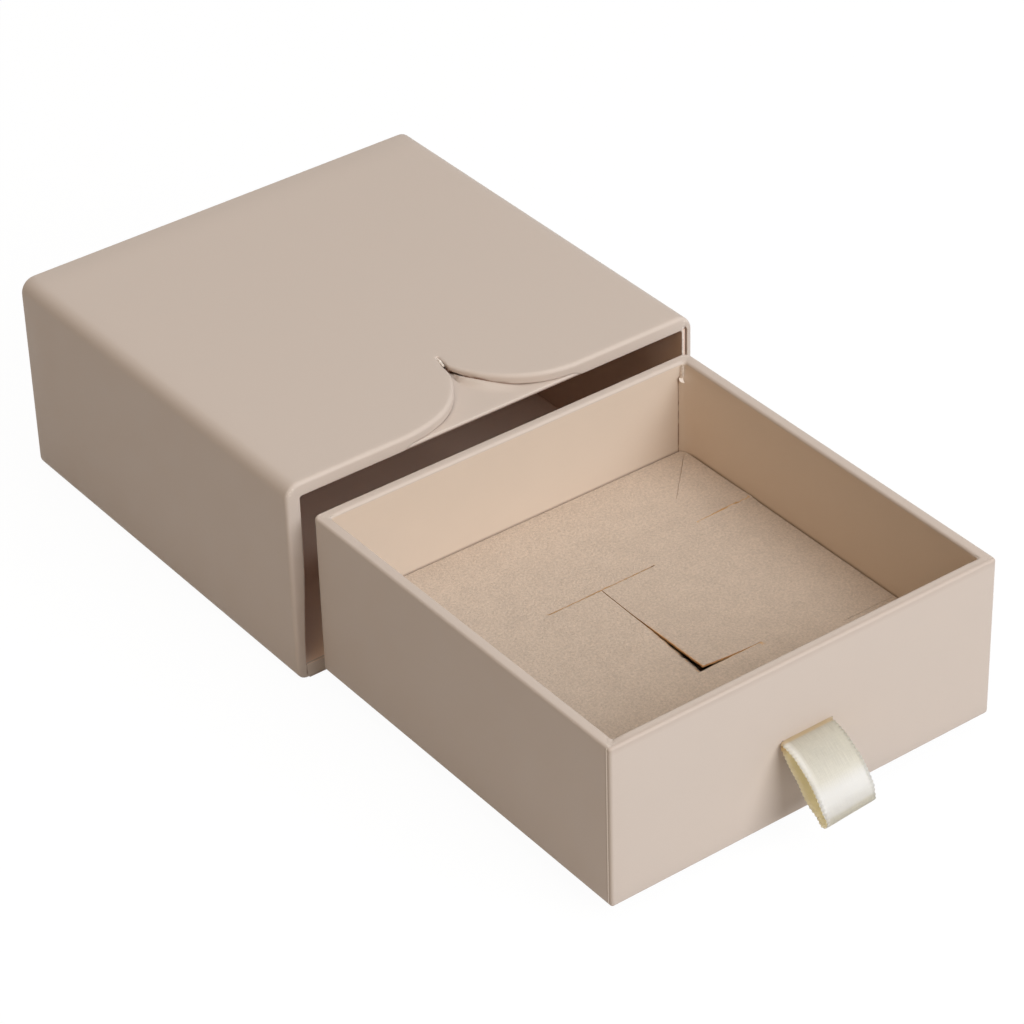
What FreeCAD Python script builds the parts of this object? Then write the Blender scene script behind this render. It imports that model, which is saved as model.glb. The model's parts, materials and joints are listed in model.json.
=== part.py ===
import FreeCAD, Part
import math
import os

"""Ring box with a pull-out drawer: a paper-covered board sleeve whose lid panel
ends in two round leaves, a board tray that slides in it on a ribbon pull, and a
suede-covered card pad with a slit slot that holds a ring.

Frame: millimetres, +X to the right across the front, +Y to the back, +Z up.
The origin is the middle of the sleeve's underside.
The tray is drawn just clear of the sleeve's mouth, which is its rest place.
"""

V = FreeCAD.Vector

# ---- sheet stock -----------------------------------------------------------
WRAP = 0.2              # covering paper
SHELL_BOARD = 1.6       # sleeve walls
BACK_BOARD = 1.8        # sleeve back panel
LINING = 0.7            # card tube glued inside the sleeve
TRAY_BOARD = 1.6        # drawer walls and base
STAY_TAPE = 0.1         # paper tape over the drawer's board corners
PAD_CARD = 0.5          # card of the pad
SUEDE = 0.25            # flocked suede paper on the pad
RIBBON = 0.35           # satin ribbon

# ---- sleeve ----------------------------------------------------------------
SLEEVE_W = 85.0
SLEEVE_D = 84.0
SLEEVE_H = 39.7
TOP_EDGE_R = 2.8        # long folded edges at the top
FOOT_EDGE_R = 2.0       # long folded edges at the bottom
BACK_EDGE_R = 0.6       # edges round the back panel
MOUTH_EDGE_R = 0.6      # paper rolled over the leaves' edges
LEAF_RX = 19.0          # round corners of the two leaves, across
LEAF_RY = 13.5          # and from front to back
LEAF_GAP = 0.3          # space left where the leaves meet
LEAF_SLIT_LEN = 3.1     # slit between them, behind the point where they meet
TURN_IN = 15.0          # covering paper folded back inside the mouth
FOOT_SHEET_INSET = 2.4  # foot paper, in from the sleeve's sides
LINING_SETBACK = 0.1    # lining, in from the mouth
LINING_EDGE_R = 0.3     # its rolled front edge

# ---- drawer ----------------------------------------------------------------
SIDE_CLEAR = 0.5        # drawer to lining, each side
FLOOR_CLEAR = 0.3       # drawer to lining, below
HEAD_CLEAR = 2.5        # drawer to lining, above
BACK_CLEAR = 0.3        # drawer to lining, behind, when shut
FRONT_RECESS = 2.2      # front face behind the mouth, when shut
PULLED_GAP = 2.6        # back face in front of the mouth, at rest
TRAY_FRONT_R = 0.6      # upright corners of the covered drawer, front
TRAY_BACK_R = 1.2       # and back
TRAY_RIM_R = 0.4        # both edges of its rim
STAY_REACH = 12.0       # tape on each side of a corner

# ---- pad -------------------------------------------------------------------
PAD_RISE = 11.0         # top of the pad above the drawer's lined floor
PAD_CLEAR = 0.3         # pad to drawer wall
PAD_FOLD_R = 0.7        # fold between the pad's top and its skirts
SLIT = 0.24             # width of a knife slit
FLAP_REACH = 11.2       # from the middle slit to a flap's fold
FLAP_LEN = 27.7         # length of the middle slit
WINDOW_SHIFT = -0.6     # ring slot, from the middle of the pad
FLAP_LIFT = 3.0         # degrees that the right flap stands up from its fold
CORNER_SLIT = 10.0      # reach of a diagonal corner slit along X and Y
EDGE_KEEP = 1.0         # card left whole between a slit and the pad's edge
SIDE_SLIT_LEN = 11.4    # reach of a side slit in from the pad's edge
SIDE_SLIT_Y = 18.5      # side slits before and behind the middle of the pad
SKIRT_FOOT = 0.1        # skirts above the floor paper

# ---- ribbon pull -----------------------------------------------------------
RIBBON_W = 10.6
PULL_RISE = 15.7        # slot above the drawer's underside
SLOT_PLAY = 0.1         # slot round the doubled ribbon
PIVOT_OUT = 0.6         # bead of the loop in front of the drawer
LOOP_OUT = 11.2         # reach of the loop forward
LOOP_DROP = 9.6         # drop of the loop below the slot
LOOP_BULGE = 2.0        # swell of the upper run above its chord
LOOP_BELLY = 2.3        # swell of the lower run below its chord
LOOP_FOLD_R = 0.8       # bend at the loop's end
BEAD_R = 0.4            # where the two runs meet at the slot
TAIL_LEN = 10.0         # glued ends, down the inside of the front board
TAIL_PLAY = 0.05        # ends inside the shallow bed pressed in the board

# ---- modelling aids --------------------------------------------------------
PAST = 1.0              # how far a cutting block runs past what it cuts
NEAR = 0.01             # how close an edge lies to the face it is picked from

# ---- levels and places worked out from the above ---------------------------
FOOT_TOP = WRAP                                  # foot paper
SHELL_Z0 = FOOT_TOP + WRAP                       # board floor, underside
LINING_Z0 = SHELL_Z0 + SHELL_BOARD + WRAP        # lining floor, underside
BAY_Z0 = LINING_Z0 + LINING
SHELL_Z1 = SLEEVE_H - WRAP
LINING_Z1 = SHELL_Z1 - SHELL_BOARD - WRAP
BAY_Z1 = LINING_Z1 - LINING
SHELL_X = SLEEVE_W / 2 - WRAP
LINING_X = SHELL_X - SHELL_BOARD - WRAP
BAY_X = LINING_X - LINING
MOUTH_Y = -SLEEVE_D / 2
BACK_Y = SLEEVE_D / 2
BACK_BOARD_Y1 = BACK_Y - WRAP
BACK_BOARD_Y0 = BACK_BOARD_Y1 - BACK_BOARD
BAY_Y1 = BACK_BOARD_Y0 - LINING

TRAY_W = 2 * (BAY_X - SIDE_CLEAR)
TRAY_D = BAY_Y1 - BACK_CLEAR - (MOUTH_Y + FRONT_RECESS)
TRAY_H = BAY_Z1 - HEAD_CLEAR - (BAY_Z0 + FLOOR_CLEAR)
TRAY_X = TRAY_W / 2
TRAY_Z0 = BAY_Z0 + FLOOR_CLEAR
TRAY_Z1 = TRAY_Z0 + TRAY_H
TRAY_Y1 = MOUTH_Y - PULLED_GAP
TRAY_Y0 = TRAY_Y1 - TRAY_D
TRAY_SKIN = WRAP + STAY_TAPE                     # paper and tape outside the boards
TRAY_WALL = TRAY_SKIN + TRAY_BOARD + WRAP
TRAVEL = TRAY_D + PULLED_GAP + FRONT_RECESS
FLOOR_Z = TRAY_Z0 + WRAP + TRAY_BOARD            # base board, top
LINED_FLOOR_Z = FLOOR_Z + WRAP
WELL_X = TRAY_X - TRAY_WALL
WELL_Y0 = TRAY_Y0 + TRAY_WALL
WELL_Y1 = TRAY_Y1 - TRAY_WALL

PAD_Z = LINED_FLOOR_Z + PAD_RISE
PAD_X = WELL_X - PAD_CLEAR
PAD_Y0 = WELL_Y0 + PAD_CLEAR
PAD_Y1 = WELL_Y1 - PAD_CLEAR
PAD_MID_Y = (PAD_Y0 + PAD_Y1) / 2
WINDOW_Y = PAD_MID_Y + WINDOW_SHIFT
CARD_Z = PAD_Z - SUEDE

PULL_Z = TRAY_Z0 + PULL_RISE
PIVOT_Y = TRAY_Y0 - PIVOT_OUT


# ---- helpers ---------------------------------------------------------------
def block(x0, x1, y0, y1, z0, z1):
    return Part.makeBox(x1 - x0, y1 - y0, z1 - z0, V(x0, y0, z0))


def arc(centre, radius, start, end):
    """Arc in the XZ plane, angles in degrees from +X towards +Z."""
    def on(angle):
        a = math.radians(angle)
        return centre + V(radius * math.cos(a), 0, radius * math.sin(a))
    return Part.Arc(on(start), on((start + end) / 2), on(end)).toShape()


def tube_face(half_w, z0, z1, r_top, r_foot, y):
    """Upright rectangle with round corners, facing along Y."""
    corners = (
        (V(half_w - r_foot, y, z0 + r_foot), r_foot, 270, 360),
        (V(half_w - r_top, y, z1 - r_top), r_top, 0, 90),
        (V(-half_w + r_top, y, z1 - r_top), r_top, 90, 180),
        (V(-half_w + r_foot, y, z0 + r_foot), r_foot, 180, 270),
    )
    arcs = [arc(*corner) for corner in corners]
    edges = []
    for here, following in zip(arcs, arcs[1:] + arcs[:1]):
        edges.append(here)
        edges.append(Part.makeLine(here.lastVertex().Point, following.firstVertex().Point))
    return Part.Face(Part.Wire(Part.__sortEdges__(edges)))


def tube_block(outset, y0, y1):
    """Solid of the sleeve's outer section, outset from the board's own skin."""
    face = tube_face(
        SHELL_X + outset,
        SHELL_Z0 - outset,
        SHELL_Z1 + outset,
        TOP_EDGE_R - WRAP + outset,
        FOOT_EDGE_R - WRAP + outset,
        y0,
    )
    return face.extrude(V(0, y1 - y0, 0))


def tube_bore(inset, y0, y1):
    """Block of the sleeve's inner section, inset from the board's outer skin."""
    x = SHELL_X - inset
    return block(-x, x, y0, y1, SHELL_Z0 + inset, SHELL_Z1 - inset)


def leaf_gap(cover, z0, z1):
    """Space in front of the two leaves, less the paper that covers the board's edge."""
    rx = LEAF_RX - WRAP + cover
    ry = LEAF_RY - WRAP + cover
    centre = V(LEAF_RX + LEAF_GAP / 2, MOUTH_Y + LEAF_RY, z0)
    half_gap = centre.x - rx
    end_y = centre.y + LEAF_SLIT_LEN + WRAP - cover
    start_y = centre.y - ry
    front_y = MOUTH_Y - LEAF_RY
    ellipse = Part.Ellipse(centre, rx, ry)
    right = Part.Arc(ellipse, math.pi, 1.5 * math.pi).toShape()
    left = right.mirror(V(0, 0, 0), V(1, 0, 0))
    points = (
        V(-centre.x, start_y, z0),
        V(-centre.x, front_y, z0),
        V(centre.x, front_y, z0),
        V(centre.x, start_y, z0),
    )
    slit = (
        V(half_gap, centre.y, z0),
        V(half_gap, end_y, z0),
        V(-half_gap, end_y, z0),
        V(-half_gap, centre.y, z0),
    )
    edges = [right, left]
    edges += [Part.makeLine(a, b) for a, b in zip(points, points[1:])]
    edges += [Part.makeLine(a, b) for a, b in zip(slit, slit[1:])]
    face = Part.Face(Part.Wire(Part.__sortEdges__(edges)))
    return face.extrude(V(0, 0, z1 - z0))


def edges_where(shape, test):
    return [edge for edge in shape.Edges if test(edge.BoundBox)]


def leaf_edges(shape, top):
    """Outer edges of the top panel at the mouth and round the leaves."""
    reach = MOUTH_Y + LEAF_RY + NEAR

    def at_leaf(box):
        return box.ZMin > top - NEAR and box.YMax < reach and box.XLength > LEAF_GAP
    return edges_where(shape, at_leaf)


def save(name, shape):
    shape = shape.removeSplitter()
    solids = shape.Solids
    if len(solids) == 1:
        shape = solids[0]
    else:
        shape = Part.makeCompound(solids)
    if not shape.isValid():
        raise RuntimeError(name + " is not a valid solid")
    shape.exportStep("parts/" + name + ".step")
    print(name, len(solids), "solid(s)", round(shape.Volume, 1), "mm3")
    return shape


# ---- sleeve ----------------------------------------------------------------
def shell_board():
    """One board folded into a tube, its top panel cut into two round leaves."""
    y0 = MOUTH_Y + WRAP
    tube = tube_block(0, y0, BACK_BOARD_Y1)
    tube = tube.cut(tube_bore(SHELL_BOARD, y0 - PAST, BACK_BOARD_Y1 + PAST))
    tube = tube.cut(leaf_gap(0, SHELL_Z1 - TOP_EDGE_R, SLEEVE_H + PAST))
    return tube.makeFillet(MOUTH_EDGE_R - WRAP, leaf_edges(tube, SHELL_Z1))


def shell_wrap(board):
    """Paper over the folded board, round its mouth edges and back inside."""
    skin = tube_block(WRAP, MOUTH_Y, BACK_BOARD_Y1)
    skin = skin.cut(leaf_gap(WRAP, SHELL_Z1 - TOP_EDGE_R, SLEEVE_H + PAST))
    skin = skin.makeFillet(MOUTH_EDGE_R, leaf_edges(skin, SLEEVE_H))
    bore = tube_bore(SHELL_BOARD + WRAP, MOUTH_Y - PAST, BACK_Y)
    deep = tube_bore(SHELL_BOARD, MOUTH_Y + LEAF_RY + TURN_IN, BACK_Y)
    fold_x = SHELL_X - TURN_IN
    under = block(-fold_x, fold_x, MOUTH_Y + TURN_IN, BACK_Y, 0, SHELL_Z0)
    return skin.cut(bore).cut(deep).cut(under).cut(board)


def back_board():
    return tube_bore(SHELL_BOARD, BACK_BOARD_Y0, BACK_BOARD_Y1)


def back_paper():
    """Paper over the back panel and the ends of the tube."""
    return tube_block(WRAP, BACK_BOARD_Y1, BACK_Y)


def foot_paper():
    half = SLEEVE_W / 2 - FOOT_SHEET_INSET
    return block(-half, half, MOUTH_Y + WRAP, BACK_Y - WRAP, 0, FOOT_TOP)


def lining_panels():
    """Card tube inside the sleeve: floor and ceiling run full width, sides stand between."""
    y0 = MOUTH_Y + LINING_SETBACK
    y1 = BACK_BOARD_Y0
    ceiling = block(-LINING_X, LINING_X, y0, y1, BAY_Z1, LINING_Z1)
    nose = edges_where(ceiling, lambda box: box.YMax < y0 + NEAR and box.XLength > LINING_X)
    panels = {"sleeve_lining_ceiling": ceiling.makeFillet(LINING_EDGE_R, nose)}
    panels["sleeve_lining_floor"] = block(-LINING_X, LINING_X, y0, y1, LINING_Z0, BAY_Z0)
    panels["sleeve_lining_left"] = block(-LINING_X, -BAY_X, y0, y1, BAY_Z0, BAY_Z1)
    panels["sleeve_lining_right"] = block(BAY_X, LINING_X, y0, y1, BAY_Z0, BAY_Z1)
    panels["sleeve_lining_back"] = block(-BAY_X, BAY_X, BAY_Y1, y1, BAY_Z0, BAY_Z1)
    return panels


# ---- drawer ----------------------------------------------------------------
def pull_slot(y0, y1):
    half_w = RIBBON_W / 2 + SLOT_PLAY
    half_h = RIBBON + SLOT_PLAY
    return block(-half_w, half_w, y0, y1, PULL_Z - half_h, PULL_Z + half_h)


def tail_bed():
    """Shallow bed in the inner face of the front board, below the slot."""
    half_w = RIBBON_W / 2 + SLOT_PLAY
    y1 = WELL_Y0 - WRAP
    y0 = y1 - 2 * RIBBON - TAIL_PLAY
    return block(-half_w, half_w, y0, y1, PULL_Z - TAIL_LEN - SLOT_PLAY, PULL_Z)


def tray_block(inset, z0, z1):
    """Block of the drawer's plan, all round inset from its outer skin."""
    x = TRAY_X - inset
    y0 = TRAY_Y0 + inset
    y1 = TRAY_Y1 - inset
    body = block(-x, x, y0, y1, z0, z1)
    front = edges_where(body, lambda box: box.XLength < NEAR and box.YMax < y0 + NEAR)
    body = body.makeFillet(TRAY_FRONT_R - inset, front)
    back = edges_where(body, lambda box: box.XLength < NEAR and box.YMin > y1 - NEAR)
    return body.makeFillet(TRAY_BACK_R - inset, back)


def drawer_boards():
    """Base and four walls; the walls stand round the base, front and back run full width."""
    x1 = TRAY_X - TRAY_SKIN
    x0 = x1 - TRAY_BOARD
    y0 = TRAY_Y0 + TRAY_SKIN + TRAY_BOARD
    y1 = TRAY_Y1 - TRAY_SKIN - TRAY_BOARD
    z0 = TRAY_Z0 + WRAP
    z1 = TRAY_Z1 - WRAP
    plan = tray_block(TRAY_SKIN, z0, z1)
    front = plan.common(block(-x1, x1, TRAY_Y0, y0, z0, z1))
    return {
        "drawer_base_board": block(-x0, x0, y0, y1, z0, FLOOR_Z),
        "drawer_front_board": front.cut(pull_slot(TRAY_Y0, y0)).cut(tail_bed()),
        "drawer_back_board": plan.common(block(-x1, x1, y1, TRAY_Y1, z0, z1)),
        "drawer_left_board": block(-x1, -x0, y0, y1, z0, z1),
        "drawer_right_board": block(x0, x1, y0, y1, z0, z1),
    }


def corner_tapes():
    """Paper tape round each upright corner of the boards, under the covering paper."""
    z0 = TRAY_Z0 + WRAP
    z1 = TRAY_Z1 - WRAP
    ring = tray_block(WRAP, z0, z1).cut(tray_block(TRAY_SKIN, z0, z1))
    reach = WRAP + STAY_REACH
    across = block(-TRAY_X, TRAY_X, TRAY_Y0 + reach, TRAY_Y1 - reach, z0, z1)
    along = block(-TRAY_X + reach, TRAY_X - reach, TRAY_Y0, TRAY_Y1, z0, z1)
    return ring.cut(across).cut(along)


def drawer_wrap():
    """Paper over both faces of the walls, over the rim and under the base."""
    skin = tray_block(0, TRAY_Z0, TRAY_Z1)
    top = edges_where(skin, lambda box: box.ZMin > TRAY_Z1 - NEAR)
    skin = skin.makeFillet(TRAY_RIM_R, top)
    well = block(-WELL_X, WELL_X, WELL_Y0, WELL_Y1, FLOOR_Z, TRAY_Z1 + PAST)
    skin = skin.cut(well)
    lip = edges_where(skin, lambda box: box.ZMin > TRAY_Z1 - NEAR and at_well(box))
    skin = skin.makeFillet(TRAY_RIM_R, lip)
    walls = tray_block(WRAP, TRAY_Z0 + WRAP, TRAY_Z1 - WRAP)
    lined_x = WELL_X + WRAP
    lined = block(-lined_x, lined_x, WELL_Y0 - WRAP, WELL_Y1 + WRAP, FLOOR_Z, TRAY_Z1)
    skin = skin.cut(walls.cut(lined))
    return skin.cut(pull_slot(TRAY_Y0 - PAST, TRAY_Y0 + TRAY_SKIN))


def at_well(box):
    """True for an edge of the well's own outline."""
    on_side = box.XLength < NEAR and abs(abs(box.XMin) - WELL_X) < NEAR
    on_front = box.YLength < NEAR and abs(box.YMin - WELL_Y0) < NEAR
    on_back = box.YLength < NEAR and abs(box.YMin - WELL_Y1) < NEAR
    return on_side or on_front or on_back


def drawer_floor_paper():
    return block(-WELL_X, WELL_X, WELL_Y0, WELL_Y1, FLOOR_Z, LINED_FLOOR_Z)


# ---- pad -------------------------------------------------------------------
def pad_slits():
    """Knife cuts through the pad: the ring slot's window, corners and sides."""
    z0 = CARD_Z - PAD_CARD - PAST
    z1 = PAD_Z + PAST
    half_len = FLAP_LEN / 2
    cuts = [block(-FLAP_REACH, FLAP_REACH, WINDOW_Y - half_len, WINDOW_Y + half_len, z0, z1)]
    diagonal = math.sqrt(2)
    for side in (-1, 1):
        inner = side * (PAD_X - SIDE_SLIT_LEN)
        outer = side * (PAD_X - EDGE_KEEP)
        for end, corner_y in ((-1, PAD_Y0), (1, PAD_Y1)):
            y = PAD_MID_Y + end * SIDE_SLIT_Y
            cuts.append(block(*sorted((inner, outer)), y - SLIT / 2, y + SLIT / 2, z0, z1))
            near = EDGE_KEEP * diagonal
            bar = block(near, CORNER_SLIT * diagonal, -SLIT / 2, SLIT / 2, z0, z1)
            angle = math.degrees(math.atan2(-end, -side))
            bar.rotate(V(0, 0, 0), V(0, 0, 1), angle)
            bar.translate(V(side * PAD_X, corner_y, 0))
            cuts.append(bar)
    return cuts


def cut_all(shape, cuts):
    for cut in cuts:
        shape = shape.cut(cut)
    return shape


def pad_card():
    """Card folded down on four sides, so that its skirts hold the top off the floor."""
    z0 = LINED_FLOOR_Z + SKIRT_FOOT
    body = block(-PAD_X, PAD_X, PAD_Y0, PAD_Y1, z0, CARD_Z)
    rim = edges_where(body, lambda box: box.ZMin > CARD_Z - NEAR)
    body = body.makeFillet(PAD_FOLD_R, rim)
    t = PAD_CARD
    hollow = block(-PAD_X + t, PAD_X - t, PAD_Y0 + t, PAD_Y1 - t, z0 - PAST, CARD_Z - t)
    return cut_all(body.cut(hollow), pad_slits())


def pad_suede():
    """Flocked paper on the pad's top, rolled a little over its folded edges."""
    body = block(-PAD_X, PAD_X, PAD_Y0, PAD_Y1, CARD_Z - PAD_FOLD_R, PAD_Z)
    rim = edges_where(body, lambda box: box.ZMin > PAD_Z - NEAR)
    body = body.makeFillet(PAD_FOLD_R, rim)
    card = block(-PAD_X, PAD_X, PAD_Y0, PAD_Y1, LINED_FLOOR_Z, CARD_Z)
    rim = edges_where(card, lambda box: box.ZMin > CARD_Z - NEAR)
    card = card.makeFillet(PAD_FOLD_R, rim)
    return cut_all(body.cut(card), pad_slits())


def flap(side, z0, z1):
    """One leaf of the ring slot, from its fold to the middle slit; side is -1 or 1."""
    free = side * SLIT / 2
    fold = side * (FLAP_REACH - SLIT / 2)
    half_len = FLAP_LEN / 2 - SLIT
    body = block(*sorted((free, fold)), WINDOW_Y - half_len, WINDOW_Y + half_len, z0, z1)
    if side > 0:
        pivot = V(FLAP_REACH, WINDOW_Y, CARD_Z - PAD_CARD)
        body.rotate(pivot, V(0, 1, 0), FLAP_LIFT)
    return body


# ---- ribbon pull -----------------------------------------------------------
def bowed(a, b, bow):
    """Arc from a to b in the YZ plane that swells by bow to the left of the chord."""
    chord = b - a
    left = V(0, -chord.z, chord.y).normalize()
    return Part.Arc(a, (a + b) * 0.5 + left * bow, b).toShape()


def ribbon_loop():
    """Doubled ribbon in front of the drawer: a round bead at the slot, two runs and a fold."""
    x0 = -RIBBON_W / 2
    pivot = V(x0, PIVOT_Y, PULL_Z)
    end = V(x0, TRAY_Y0 - LOOP_OUT, PULL_Z - LOOP_DROP)
    along = (end - pivot).normalize()
    over = V(0, along.z, -along.y)
    root_up = pivot + over * BEAD_R
    root_low = pivot - over * BEAD_R
    fold_up = end + (over - along) * LOOP_FOLD_R
    fold_low = end - (over + along) * LOOP_FOLD_R
    upper = bowed(fold_up, root_up, LOOP_BULGE)
    bead = Part.Arc(root_up, pivot - along * BEAD_R, root_low).toShape()
    lower = bowed(root_low, fold_low, LOOP_BELLY)
    fold = Part.Arc(fold_low, end, fold_up).toShape()
    outline = Part.Wire(Part.__sortEdges__([upper, bead, lower, fold]))
    outside = Part.Face(outline)
    band = outside.cut(outside.makeOffset2D(-RIBBON))
    return band.extrude(V(RIBBON_W, 0, 0))


def ribbon_tails():
    """The ribbon's two ends, through the slot and glued down under the inner paper."""
    half = RIBBON_W / 2
    y_out = PIVOT_Y + BEAD_R + TAIL_PLAY
    y_in = WELL_Y0 - WRAP
    run = block(-half, half, y_out, y_in, PULL_Z - RIBBON, PULL_Z + RIBBON)
    return run.fuse(block(-half, half, y_in - 2 * RIBBON, y_in, PULL_Z - TAIL_LEN, PULL_Z))


def main():
    os.makedirs("parts", exist_ok=True)
    board = shell_board()
    save("sleeve_shell_board", board)
    save("sleeve_wrap_paper", shell_wrap(board))
    save("sleeve_back_board", back_board())
    save("sleeve_back_paper", back_paper())
    save("sleeve_foot_paper", foot_paper())
    for name, panel in lining_panels().items():
        save(name, panel)

    for name, panel in drawer_boards().items():
        save(name, panel)
    save("drawer_corner_tapes", corner_tapes())
    save("drawer_wrap_paper", drawer_wrap())
    save("drawer_floor_paper", drawer_floor_paper())
    save("ribbon_tails", ribbon_tails())
    save("ribbon_loop", ribbon_loop())

    save("pad_card", pad_card())
    save("pad_suede", pad_suede())
    for side, word in ((-1, "left"), (1, "right")):
        save("ring_flap_" + word, flap(side, CARD_Z - PAD_CARD, CARD_Z))
        save("ring_flap_" + word + "_suede", flap(side, CARD_Z, PAD_Z))


main()
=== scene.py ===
# %% [markdown]
# # A paper-covered ring box with a pull-out drawer
# The box is a set-up box: grey board walls with thin covering paper glued over them.
# A sleeve stands on the table. A tray slides in it on a ribbon pull, and carries a card
# pad with a slit that pinches a ring. The solids of every board and paper come from the
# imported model, which gives the places and sizes. This lesson dresses them: the covering
# papers, the suede and the ribbon are built again as soft, hand-made surfaces.

# %% Load the frame
import json
import math
import random

import bmesh
import bpy
from mathutils import Matrix, Vector, noise
from mathutils.geometry import delaunay_2d_cdt

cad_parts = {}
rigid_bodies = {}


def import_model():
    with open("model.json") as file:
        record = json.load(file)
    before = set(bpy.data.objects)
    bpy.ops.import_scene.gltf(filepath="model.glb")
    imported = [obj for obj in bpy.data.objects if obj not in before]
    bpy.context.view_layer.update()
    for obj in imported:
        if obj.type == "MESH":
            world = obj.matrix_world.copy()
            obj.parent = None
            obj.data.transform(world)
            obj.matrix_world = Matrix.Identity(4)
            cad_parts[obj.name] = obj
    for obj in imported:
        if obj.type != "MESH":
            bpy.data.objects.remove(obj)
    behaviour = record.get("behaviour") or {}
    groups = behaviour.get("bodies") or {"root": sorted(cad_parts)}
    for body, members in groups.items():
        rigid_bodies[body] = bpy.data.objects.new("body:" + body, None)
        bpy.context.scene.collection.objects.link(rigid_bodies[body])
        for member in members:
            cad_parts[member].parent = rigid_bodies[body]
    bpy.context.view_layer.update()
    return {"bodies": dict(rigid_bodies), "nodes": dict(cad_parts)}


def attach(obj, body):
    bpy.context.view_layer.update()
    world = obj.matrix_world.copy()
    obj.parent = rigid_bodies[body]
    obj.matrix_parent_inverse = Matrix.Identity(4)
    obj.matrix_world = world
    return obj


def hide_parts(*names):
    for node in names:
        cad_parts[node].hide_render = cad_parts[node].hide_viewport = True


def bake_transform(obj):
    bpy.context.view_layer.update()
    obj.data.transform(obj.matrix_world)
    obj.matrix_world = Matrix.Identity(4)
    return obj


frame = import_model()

print("nodes in the frame:", len(frame["nodes"]))

# %% [markdown]
# ## Sizes
# The box's lengths are written in millimetres, as a box maker would note them, and MM
# turns them into metres. Each one here is the size of the part's solid in the frame. Only
# the table, the lamps and the camera are placed in metres.

# %% Sizes in millimetres
MM = 0.001

WALL = 2.0                      # board and both papers of a leaf
MOUTH_WALL = 2.74               # the same with the lining, at the sides and foot
LINING_T = 0.7
SLEEVE_X = 42.5
SLEEVE_Z0 = 0.2
SLEEVE_Z1 = 39.7
MOUTH_Y = -42.0
BACK_Y = 42.0
TOP_FOLD_R = 2.8
FOOT_FOLD_R = 2.0
BAY_X = SLEEVE_X - MOUTH_WALL   # inner face of the sleeve's sides, and of its foot
BAY_Z0 = 2.9
LINING_Z1 = SLEEVE_Z1 - WALL    # top and underside of the lining's ceiling
LINING_Z0 = 37.0

LEAF_RX = 19.0
LEAF_RY = 13.5
POINT_Y = MOUTH_Y + LEAF_RY     # where the two leaves meet
SLIT_HALF = 0.15
SLIT_END_Y = -25.4

TRAY_X = 39.3
TRAY_Y0 = -123.4
TRAY_Y1 = -44.6
TRAY_Z0 = 3.2
TRAY_Z1 = 34.5
TRAY_WALL = 2.1
TRAY_FLOOR_Z = 5.3

PAD_Z = 16.3
SUEDE_Z = PAD_Z - 0.02          # the dressed suede lies a hair below its solid's top
PAD_CARD_Z = 16.05
PAD_Y0 = -121.0
PAD_Y1 = -47.0
PAD_MID_Y = (PAD_Y0 + PAD_Y1) / 2
SLOT_X = 11.2                   # folds of the ring slot's tongues
SLOT_MID_Y = -84.6
SLOT_HALF_LEN = 13.85

PULL_Z = 18.9
RIBBON_W = 10.6
RIBBON_T = 0.3

for body in sorted(frame["bodies"]):
    print("body:", body)

# %% [markdown]
# ## Making a mesh
# Paper and ribbon are surfaces of rows that follow an outline. A small helper keeps the
# rows and joins neighbours with quads. Another turns the result into an object, welds the
# seams between strips and turns the faces outward. A number painted on the vertices tells
# a material where the paper is worn, where card is cut and where shade and light are painted.

# %% Mesh helpers
WELD = 0.002                    # points closer than this become one
SHARP = math.radians(50)        # faces that meet at more than this keep a sharp edge


class Skin:
    """Points and faces of one surface, in millimetres."""

    def __init__(self):
        self.points = []
        self.faces = []

    def row(self, points):
        start = len(self.points)
        self.points.extend(Vector(p) for p in points)
        return list(range(start, len(self.points)))

    def join(self, first, second, closed=False, skip=()):
        """Quads between two rows of the same length."""
        for i in range(len(first) if closed else len(first) - 1):
            if i not in skip:
                j = (i + 1) % len(first)
                self.faces.append((first[i], first[j], second[j], second[i]))

    def strips(self, rows, closed=False):
        """Quads between each row and the next."""
        for first, second in zip(rows, rows[1:]):
            self.join(first, second, closed)

    def sheet(self, count, columns, spot):
        """Rows joined to a sheet; spot gives the place for a row's and a column's number."""
        rows = [self.row(spot(i, k) for k in range(columns)) for i in range(count)]
        self.strips(rows)
        return rows


def make_piece(name, skin, weld=True):
    """Object from a skin, welded, smooth and turned outward."""
    mesh = bpy.data.meshes.new(name)
    mesh.from_pydata([p * MM for p in skin.points], [], skin.faces)
    obj = bpy.data.objects.new(name, mesh)
    bpy.context.scene.collection.objects.link(obj)
    work = bmesh.new()
    work.from_mesh(mesh)
    if weld:
        bmesh.ops.remove_doubles(work, verts=work.verts, dist=WELD * MM)
    loose = [v for v in work.verts if not v.link_faces]
    bmesh.ops.delete(work, geom=loose, context="VERTS")
    bmesh.ops.recalc_face_normals(work, faces=work.faces)
    work.to_mesh(mesh)
    work.free()
    for face in mesh.polygons:
        face.use_smooth = True
    if weld:
        mesh.set_sharp_from_angle(angle=SHARP)
    print(name, len(mesh.vertices), "points", len(mesh.polygons), "faces")
    return obj


def make_sheet(name, count, columns, spot):
    """Piece that is one sheet of rows."""
    skin = Skin()
    skin.sheet(count, columns, spot)
    return make_piece(name, skin)


def put_numbers(obj, name, values):
    """One number on every vertex, under a name that a material reads."""
    layer = obj.data.attributes.new(name, "FLOAT", "POINT")
    layer.data.foreach_set("value", values)


def paint(obj, name, rule):
    """Number on every vertex, worked out by a rule from its place in millimetres."""
    put_numbers(obj, name, [float(rule(*(v.co / MM))) for v in obj.data.vertices])


def dress(obj, material, other=None, takes_other=None):
    """Material of a piece, and another one on the faces that a rule picks."""
    obj.data.materials.append(material)
    if other:
        obj.data.materials.append(other)
        for face in obj.data.polygons:
            face.material_index = int(takes_other(face))


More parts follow.
